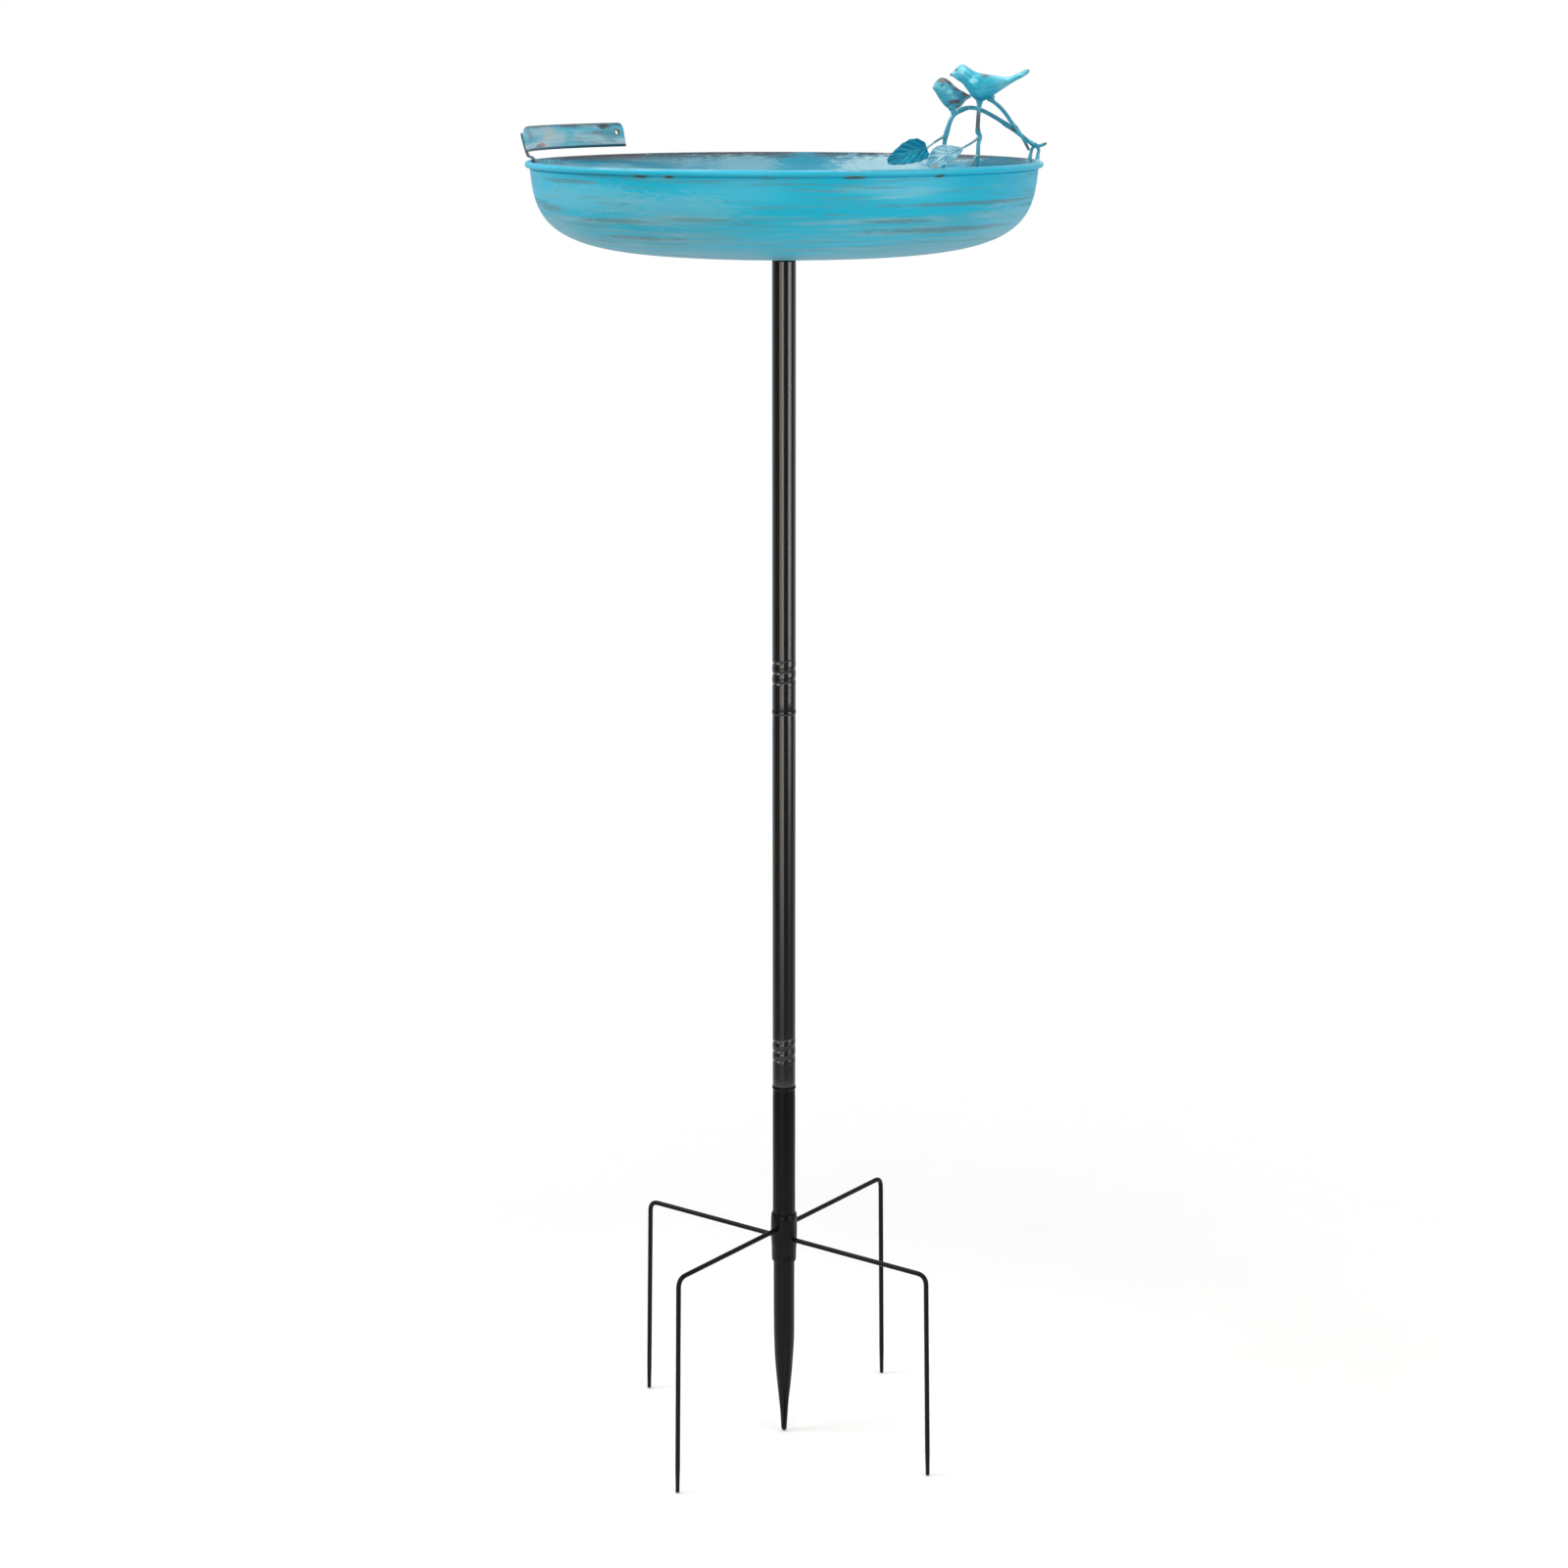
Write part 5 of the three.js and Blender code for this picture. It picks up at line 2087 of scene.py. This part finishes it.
@dataclass
class Ornament:
    """Two cast birds and two leaves on welded wires, standing in the dish and on its rim."""

    dish: Dish
    bearing: float = 8.0

    @property
    def foot(self) -> Vector:
        """Where the ornament stands on the rim bead."""
        return polar(self.dish.levels.bowl_radius - self.dish.bead, self.bearing, self.dish.levels.rim)

    def floor(self, x: float, y: float) -> Triple:
        """The ornament point just above the dish's floor under a given place.

        Args:
            x: millimetres from the foot.
            y: millimetres from the foot.

        Returns:
            The point in millimetres from the foot.
        """
        radius = (Vector((x, y)) * MM + self.foot.xy).length
        return x, y, self.dish.floor_height(radius + 1.5 * MM) / MM + 0.5

    def inside(self, height: float) -> Triple:
        """The ornament point just inside the dish's wall at a height in millimetres."""
        spot = polar(self.dish.inner_radius(height * MM) - 1.2 * MM, self.bearing, self.dish.levels.rim)
        return (spot.x - self.foot.x) / MM, (spot.y - self.foot.y) / MM, height

    def wires(self) -> tuple[Wire, ...]:
        """Every wire of the ornament.

        Returns:
            The wires.
        """
        return (
            Wire("arch_wire", "arch_branch", (
                self.floor(-59, 13), (-57, 14, -18), (-55.8, 14.5, 8), (-54, 14.5, 17), (-50.6, 14.3, 25.6),
                (-46.4, 13.8, 29), (-41, 13.2, 30.9), (-36, 12.5, 30.5), (-31, 11, 28.6), (-22.5, 8.5, 24),
                (-14, 5.5, 18.3), (-0.2, 0.6, 8.4), (1.4, 0.8, 8.0)), 1.3, 120,
                ((0.485, 0.3, 0.03), (0.61, 0.3, 0.02), (0.83, 0.3, 0.02), (0.99, 0.25, 0.02))),
            Wire("perch_wire", "perch_branch", (
                (-28.6, 7.2, 36.8), (-26.4, 6.5, 35.2), (-22, 5, 31.6), (-17.8, 3.6, 26.8),
                (-14.2, 2.2, 21.6), (-9.7, 0, 16), (-3.6, -1.4, 5.3)), 1.2, 60,
                ((0.0, 0.6, 0.05), (0.6, 0.2, 0.04), (1.0, -0.25, 0.3))),
            Wire("perch_leg_wire", "perch_leg", (
                (-34.4, 7.6, 36.4), (-34.4, 8, 34), (-35.1, 7.6, 24), (-35.1, 7, 16), (-33.8, 6.6, 13.6),
                (-34.8, 6, 9), (-35.1, 5.4, 2), (-36.5, 5, -10), self.floor(-38.5, 4)), 1.3, 90,
                ((0.0, 0.9, 0.035), (0.235, 0.3, 0.02))),
            Wire("brace_wire", "leg_brace", (
                (-35.6, 4.6, 2.6), (-37.6, 2.2, -0.5), (-41.2, -0.5, -6), (-46, -6, -22),
                self.floor(-49, -10)), 1.0, 50, faded=True),
            Wire("fork_tip_wire", "fork_twig", (
                (0.4, 0.7, 8), (2.2, 1, 7.9), (4.8, 1.4, 8.4), (7.4, 1.8, 9.6)), 1.1, 20,
                ((1.0, -0.3, 0.25),)),
            Wire("inner_foot_wire", "rim_foot_inner", (
                (0.2, 0.6, 8.2), (-1.6, 0.2, 6.2), (-2.9, -0.2, 0.6), self.inside(-7), self.inside(-18)),
                 1.0, 40, ((0.28, 0.3, 0.05),)),
            Wire("outer_foot_wire", "rim_foot_outer", (
                (1.2, 0.8, 8.0), (2.5, 0.5, 5.4), (2.1, 0.3, 3), (1.6, 0.2, -1)), 1.0, 20,
                ((1.0, 0.4, 0.3), (0.0, 0.2, 0.2))),
            Wire("left_stem_wire", "leaf_stem_left", (
                (-55.4, 14.3, 13.6), (-62, 8.5, 10), (-67.6, 3.6, 6.4)), 0.75, 24,
                ((0.06, 0.6, 0.08),), faded=True),
            Wire("right_stem_wire", "leaf_stem_right", (
                (-34.4, 6.2, 12.8), (-40.2, 1, 9.2), (-46.4, -3.0, 6.2)), 0.75, 24,
                ((0.06, 0.6, 0.08),), faded=True),
        )

    def birds(self) -> tuple[Bird, Bird]:
        """Both birds.

        Returns:
            The one on the perch, and the one on the arch half hidden behind it.
        """
        upper = Bird(
            "perching_bird", "bird_upper", (-53.3, 7, 50.9), 0, (
                (0, 0, 0.4, 0.4), (2.6, 0.6, 1.9, 1.8), (4.9, 1, 3.9, 3.7), (7.9, 0.7, 5.5, 5),
                (11.5, -2.4, 6.9, 6.1), (15.2, -5.9, 8.1, 7), (19.4, -7.5, 8.3, 7.2), (23.7, -7.2, 7.3, 6.5),
                (28.5, -6, 5.5, 5.1), (33.4, -4.8, 3.4, 3.6), (38.2, -3, 2, 2.7), (43, -0.6, 1.7, 2.6),
                (47.9, 1.8, 1.6, 2.7), (49.6, 2.4, 0.7, 1.5)),
            wing=(12.5, 36.5, -4.2, -3.4), wing_height=4.6, wing_out=6.4, eye=(5.2, 3.35, 2.6),
            pads=((18.9, 0.9, -15.3, 1.9, 1.9, 2.2), (25.4, 0, -13.6, 3.0, 1.9, 2.2)))
        lower = Bird(
            "nestling_bird", "bird_lower", (-63.5, 12.5, 43), 28, (
                (0, 0, 0.4, 0.4), (2.7, 0.5, 3.3, 3), (6.2, -0.5, 6.5, 5.6), (10.3, -3.2, 8.1, 6.7),
                (14.5, -6, 7.5, 6.6), (19.2, -6.5, 5.2, 5.2), (23, -5.8, 2.6, 3.2), (27, -5.2, 1.1, 2.3)),
            wing=(8.6, 24.5, -3.6, -5.0), wing_height=3.9, wing_out=6.0, eye=(4.1, 3.9, 1.6),
            pads=((12.6, -3.2, -12.2, 2.6, 2.6, 2.6), (12.2, -4.6, -14.6, 1.5, 1.5, 2.2)))
        return upper, lower

    def leaves(self) -> tuple[Leaf, Leaf]:
        """Both leaves.

        Returns:
            The dark one on the left and the pale one beside it.
        """
        left = Leaf("dark_leaf", "leaf_left", (-67, 4, 5.9), (-92, -6, -1.6), (4, -12, -12), high=9, low=11.5,
                    belly=0.65, lift=2.2, bow=1.2, lip=1.6, ribs=5)
        right = Leaf("pale_leaf", "leaf_right", (-45.6, -2.6, 6.2), (-66.5, -14, -4.6), (8, -10, -9), high=9,
                     low=7, belly=1.2, lift=2.0, bow=1.0, lip=0.6)
        return left, right

    def build(self) -> None:
        """Make every piece of the ornament."""
        enamel = CastPaint("wire_enamel", "#14859e", "#48adc4", "#2c5660", (0.4, 0.8), (0.66, 0.8), 0.25, 60,
                           patches=self.wire_patches(), texture=0.3).build()
        stem_enamel = CastPaint("stem_enamel", "#5f8f9a", "#a8c4ca", "#6c6258", amount=0.9).build()
        for wire in self.wires():
            path = through([self.foot + Vector(point) * MM for point in wire.points], wire.steps)
            made = sweep(wire.name, path, wire.thickness, roughen=0.012)
            place(made, Body.DISH, Slot.TEAL, wire.node, stem_enamel if wire.faded else enamel)
        self.build_leaves()
        self.build_birds()

    def build_leaves(self) -> None:
        """Make the leaves."""
        foot = self.foot
        left, right = self.leaves()
        deep = CastPaint("dark_leaf_enamel", "#00708b", "#0587a2", "#0d3340", (0.5, 0.75), (0.7, 0.8), 0.5,
                         roughness=0.42, gloss=0.12)
        worn = Patch.at(foot + Vector((-62.5, -13.5, -5)) * MM, (2.6, 3, 2), "#b8695a", 0.85)
        pale = CastPaint("pale_leaf_enamel", "#5799ae", "#97c3d0", "#3c5b66", (0.4, 0.7), (0.6, 0.72), 0.8,
                         roughness=0.4, patches=(worn,), gloss=0.35)
        rows = ((left, deep, "#4aa3bf", Slot.TEAL), (right, pale, "#4f8496", Slot.PALE))
        for leaf, look, vein_colour, slot in rows:
            made = sheet(leaf.name, leaf.surface(foot), leaf.columns, leaf.rows, 0.7 * MM)
            leaf.mark_veins(made)
            vein = Patch((0.0, 0.0, 0.0), EVERYWHERE, vein_colour, 0.8)
            creased = replace(look, name=look.name + "_veins", patches=(vein,))
            place(made, Body.DISH, slot, leaf.node, look.build(), creased.build())

    def build_birds(self) -> None:
        """Make the birds."""
        foot = self.foot
        # The shade colour is painted shade on the birds, mostly under their bellies, and the glint colour is
        # painted highlights on head, breast and tail; the brown spots are the birds' own glaze.
        brown, painted_shade, painted_glint = "#4b302b", "#0f7f96", "#86d6e4"
        upper_spots = (
            (19.5, 0, -14.5, 12, 9, 4.2, painted_shade), (21.8, -3, -0.2, 3.8, 4.6, 2.3, brown),
            (48.6, 0, 3.2, 1.6, 2.6, 1.4, brown), (0.8, 0, 0.4, 1.5, 2, 0.9, brown),
            (7.5, -5, 2.6, 2.4, 2.6, 2.2, painted_glint), (14.5, -7, -3.5, 3.4, 2.4, 2.0, painted_glint),
            (44, -3, 0.4, 4.5, 2.0, 0.9, painted_glint), (3.6, -2.4, 3.4, 1.5, 2.2, 1.2, "#4b5a5e"))
        lower_spots = (
            (12, 0, -12, 9, 8, 3.4, painted_shade), (5.6, -3, 4.6, 4.0, 5, 2.4, brown),
            (10.2, -4, 3.0, 3.2, 4.4, 2.0, "#5f3a34"), (15, -5, 0.2, 4.4, 4.6, 2.6, brown),
            (21.2, -4.5, -3.2, 4.6, 4.4, 2.8, "#7a4a4c"), (12.6, -6.5, -8.4, 6.0, 3.4, 1.7, "#63403f"),
            (4.4, -4, 1.4, 1.8, 2, 1.6, painted_shade), (8.4, -6, -2.2, 2.4, 2.4, 1.8, painted_glint))
        upper, lower = self.birds()
        rows = ((upper, upper_spots, "#27a5c0", "#7dcfe0"), (lower, lower_spots, "#1d8ea8", "#62b7ca"))
        for bird, spots, deep, light in rows:
            patches = tuple(Patch.at(bird.spot(foot, (x, y, z)), size, colour, 0.85, 0.4)
                            for x, y, z, *size, colour in spots)
            look = CastPaint(bird.name + "_enamel", deep, light, "#2a6a78", (0.4, 0.8), (0.72, 0.84),
                             0.2, 48, 0.28, patches, texture=0.2)
            place(bird.build(foot), Body.DISH, Slot.TEAL, bird.node, look.build())

    def wire_patches(self) -> tuple[Patch, ...]:
        """Brown places on the wires.

        Returns:
            The patches.
        """
        rows = (
            ((-35, 7.4, 22), (3, 3, 8.5), 0.85), ((-12, 3, 18.6), (4, 4, 3), 0.8),
            ((-8, 3, 12.5), (5, 3, 3), 0.6), ((-5, -1, 7.5), (2.5, 3, 3.5), 0.6),
            ((-56.5, 14.2, 4), (3, 3, 4), 0.6), ((6.8, 1.6, 9.4), (2, 2, 1.6), 0.7))
        return tuple(Patch.at(self.foot + Vector(at) * MM, size, "#46312c", strength, 0.4)
                     for at, size, strength in rows)


# ---------------------------------------------------------------- studio


@dataclass
class Studio:
    """The camera, the lights, the pale floor and the white surround."""

    levels: Levels
    distance: float = 1.9677
    above_rim: float = 68.27 * MM
    pitch: float = 13.272
    lens: float = 71.795
    floor_radius: float = 3.0
    fade_radius: float = 0.9
    surround_radius: float = 9.0

    def camera(self) -> None:
        """Set the camera up at the viewing angle."""
        data = bpy.data.cameras.new("camera")
        data.lens = self.lens
        data.sensor_width = 36.0
        data.clip_end = 60.0
        made = bpy.data.objects.new("camera", data)
        made.location = (0.0, -self.distance, self.levels.rim + self.above_rim)
        made.rotation_euler = (math.radians(90 - self.pitch), 0.0, 0.0)
        bpy.context.scene.collection.objects.link(made)
        bpy.context.scene.camera = made

    def softbox(self, name: str, bearing: float, away: float, height: float, size: Pair,
                power: float, tint: str) -> None:
        """One soft area light, aimed at the pole's axis.

        Args:
            name: the light's name.
            bearing: degrees to the right of the camera's side, seen from the pole.
            away: distance from the pole's axis.
            height: of its centre.
            size: width and height.
            power: in watts.
            tint: its colour.
        """
        data = bpy.data.lights.new(name, "AREA")
        data.shape = "RECTANGLE"
        data.size, data.size_y = size
        data.energy = power
        data.color = linear(tint)[:3]
        made = bpy.data.objects.new(name, data)
        made.location = polar(away, bearing - 90, height)
        aim = Vector((0, 0, min(height, self.levels.rim * 0.8))) - made.location
        made.rotation_euler = aim.to_track_quat("-Z", "Y").to_euler()
        bpy.context.scene.collection.objects.link(made)

    def world(self) -> None:
        """A white room behind the object that darkens towards the camera's side."""
        world = bpy.data.worlds.new("studio_room")
        world.use_nodes = True
        tree = world.node_tree
        tree.nodes.clear()
        kinds = ("TexCoord", "SeparateXYZ", "ValToRGB", "MapRange", "Background", "OutputWorld")
        where, split, ramp, shift, light, out = (tree.nodes.new("ShaderNode" + kind) for kind in kinds)
        shift.inputs["From Min"].default_value = -1.0
        set_stops(ramp.color_ramp, ((0.0, (0.1, 0.1, 0.1, 1)), (0.52, (0.16, 0.16, 0.16, 1)),
                                    (0.75, (0.7, 0.72, 0.74, 1))))
        tree.links.new(where.outputs["Generated"], split.inputs[0])
        tree.links.new(split.outputs[1], shift.inputs["Value"])
        tree.links.new(shift.outputs[0], ramp.inputs[0])
        tree.links.new(ramp.outputs[0], light.inputs[0])
        tree.links.new(light.outputs[0], out.inputs[0])
        bpy.context.scene.world = world

    def floor(self) -> None:
        """A pale floor that melts into the white surround."""
        graph = Graph("pale_floor")
        x, y, _ = graph.axes()
        far = ((x * x + y * y) ** 0.5).step(0.16, self.fade_radius)
        colour = graph.mix(graph.grain(3, 2), "#fcfcfb", "#f8f8f7")
        graph.finish(Base_Color=colour, Roughness=0.9, Alpha=1 - far, Specular_IOR_Level=0.1)
        top, bottom = -0.4 * MM, -20 * MM
        rows = [(0.0, bottom), (self.floor_radius, bottom), (self.floor_radius, top), (0.0, top)]
        made = lathe("studio_floor", rows, 96)
        made.data.materials.append(graph.material)

    def surround(self) -> None:
        """A white surround that only the camera sees."""
        graph = Graph("white_surround")
        graph.finish(Base_Color=(0, 0, 0, 1), Emission_Color=(1, 1, 1, 1), Emission_Strength=1.0,
                     Specular_IOR_Level=0.0)
        rows = arc((0.0, 0.0), self.surround_radius, -90, 90, 30)
        rows[0], rows[-1] = (0.0, -self.surround_radius), (0.0, self.surround_radius)
        made = lathe("studio_surround", rows, 64)
        made.data.materials.append(graph.material)
        for flag in ("visible_diffuse", "visible_glossy", "visible_transmission", "visible_volume_scatter",
                     "visible_shadow"):
            setattr(made, flag, False)

    def build(self) -> None:
        """Set up everything that isn't the object."""
        self.camera()
        self.world()
        self.floor()
        self.surround()
        self.softbox("left_softbox", -25, 2.6, 0.66, (1.7, 2.0), 25, "#fff2e6")
        self.softbox("left_strip", -9, 2.6, 0.66, (0.4, 2.0), 9, "#fff2e6")
        self.softbox("right_softbox", 57, 2.6, 0.8, (1.4, 1.8), 34, "#fdf8f6")
        self.softbox("left_fill", -82, 2.2, 2.2, (1.2, 1.2), 33, "#ffffff")
        self.softbox("top_softbox", 0, 0.3, 2.8, (2.2, 2.2), 50, "#ffffff")
        bpy.context.scene.view_settings.view_transform = "Standard"


# ---------------------------------------------------------------- the whole object


def main() -> None:
    """Build the studio and every sub-assembly."""
    logging.basicConfig(level=logging.INFO, format="%(name)s: %(message)s")
    levels = Levels.read()
    Studio(levels).build()
    pole = Pole(levels)
    Stake(pole).build()
    pole.build()
    dish = Dish(levels)
    dish.build()
    RimStrap(dish).build()
    Ornament(dish).build()


if __name__ == "__main__":
    main()
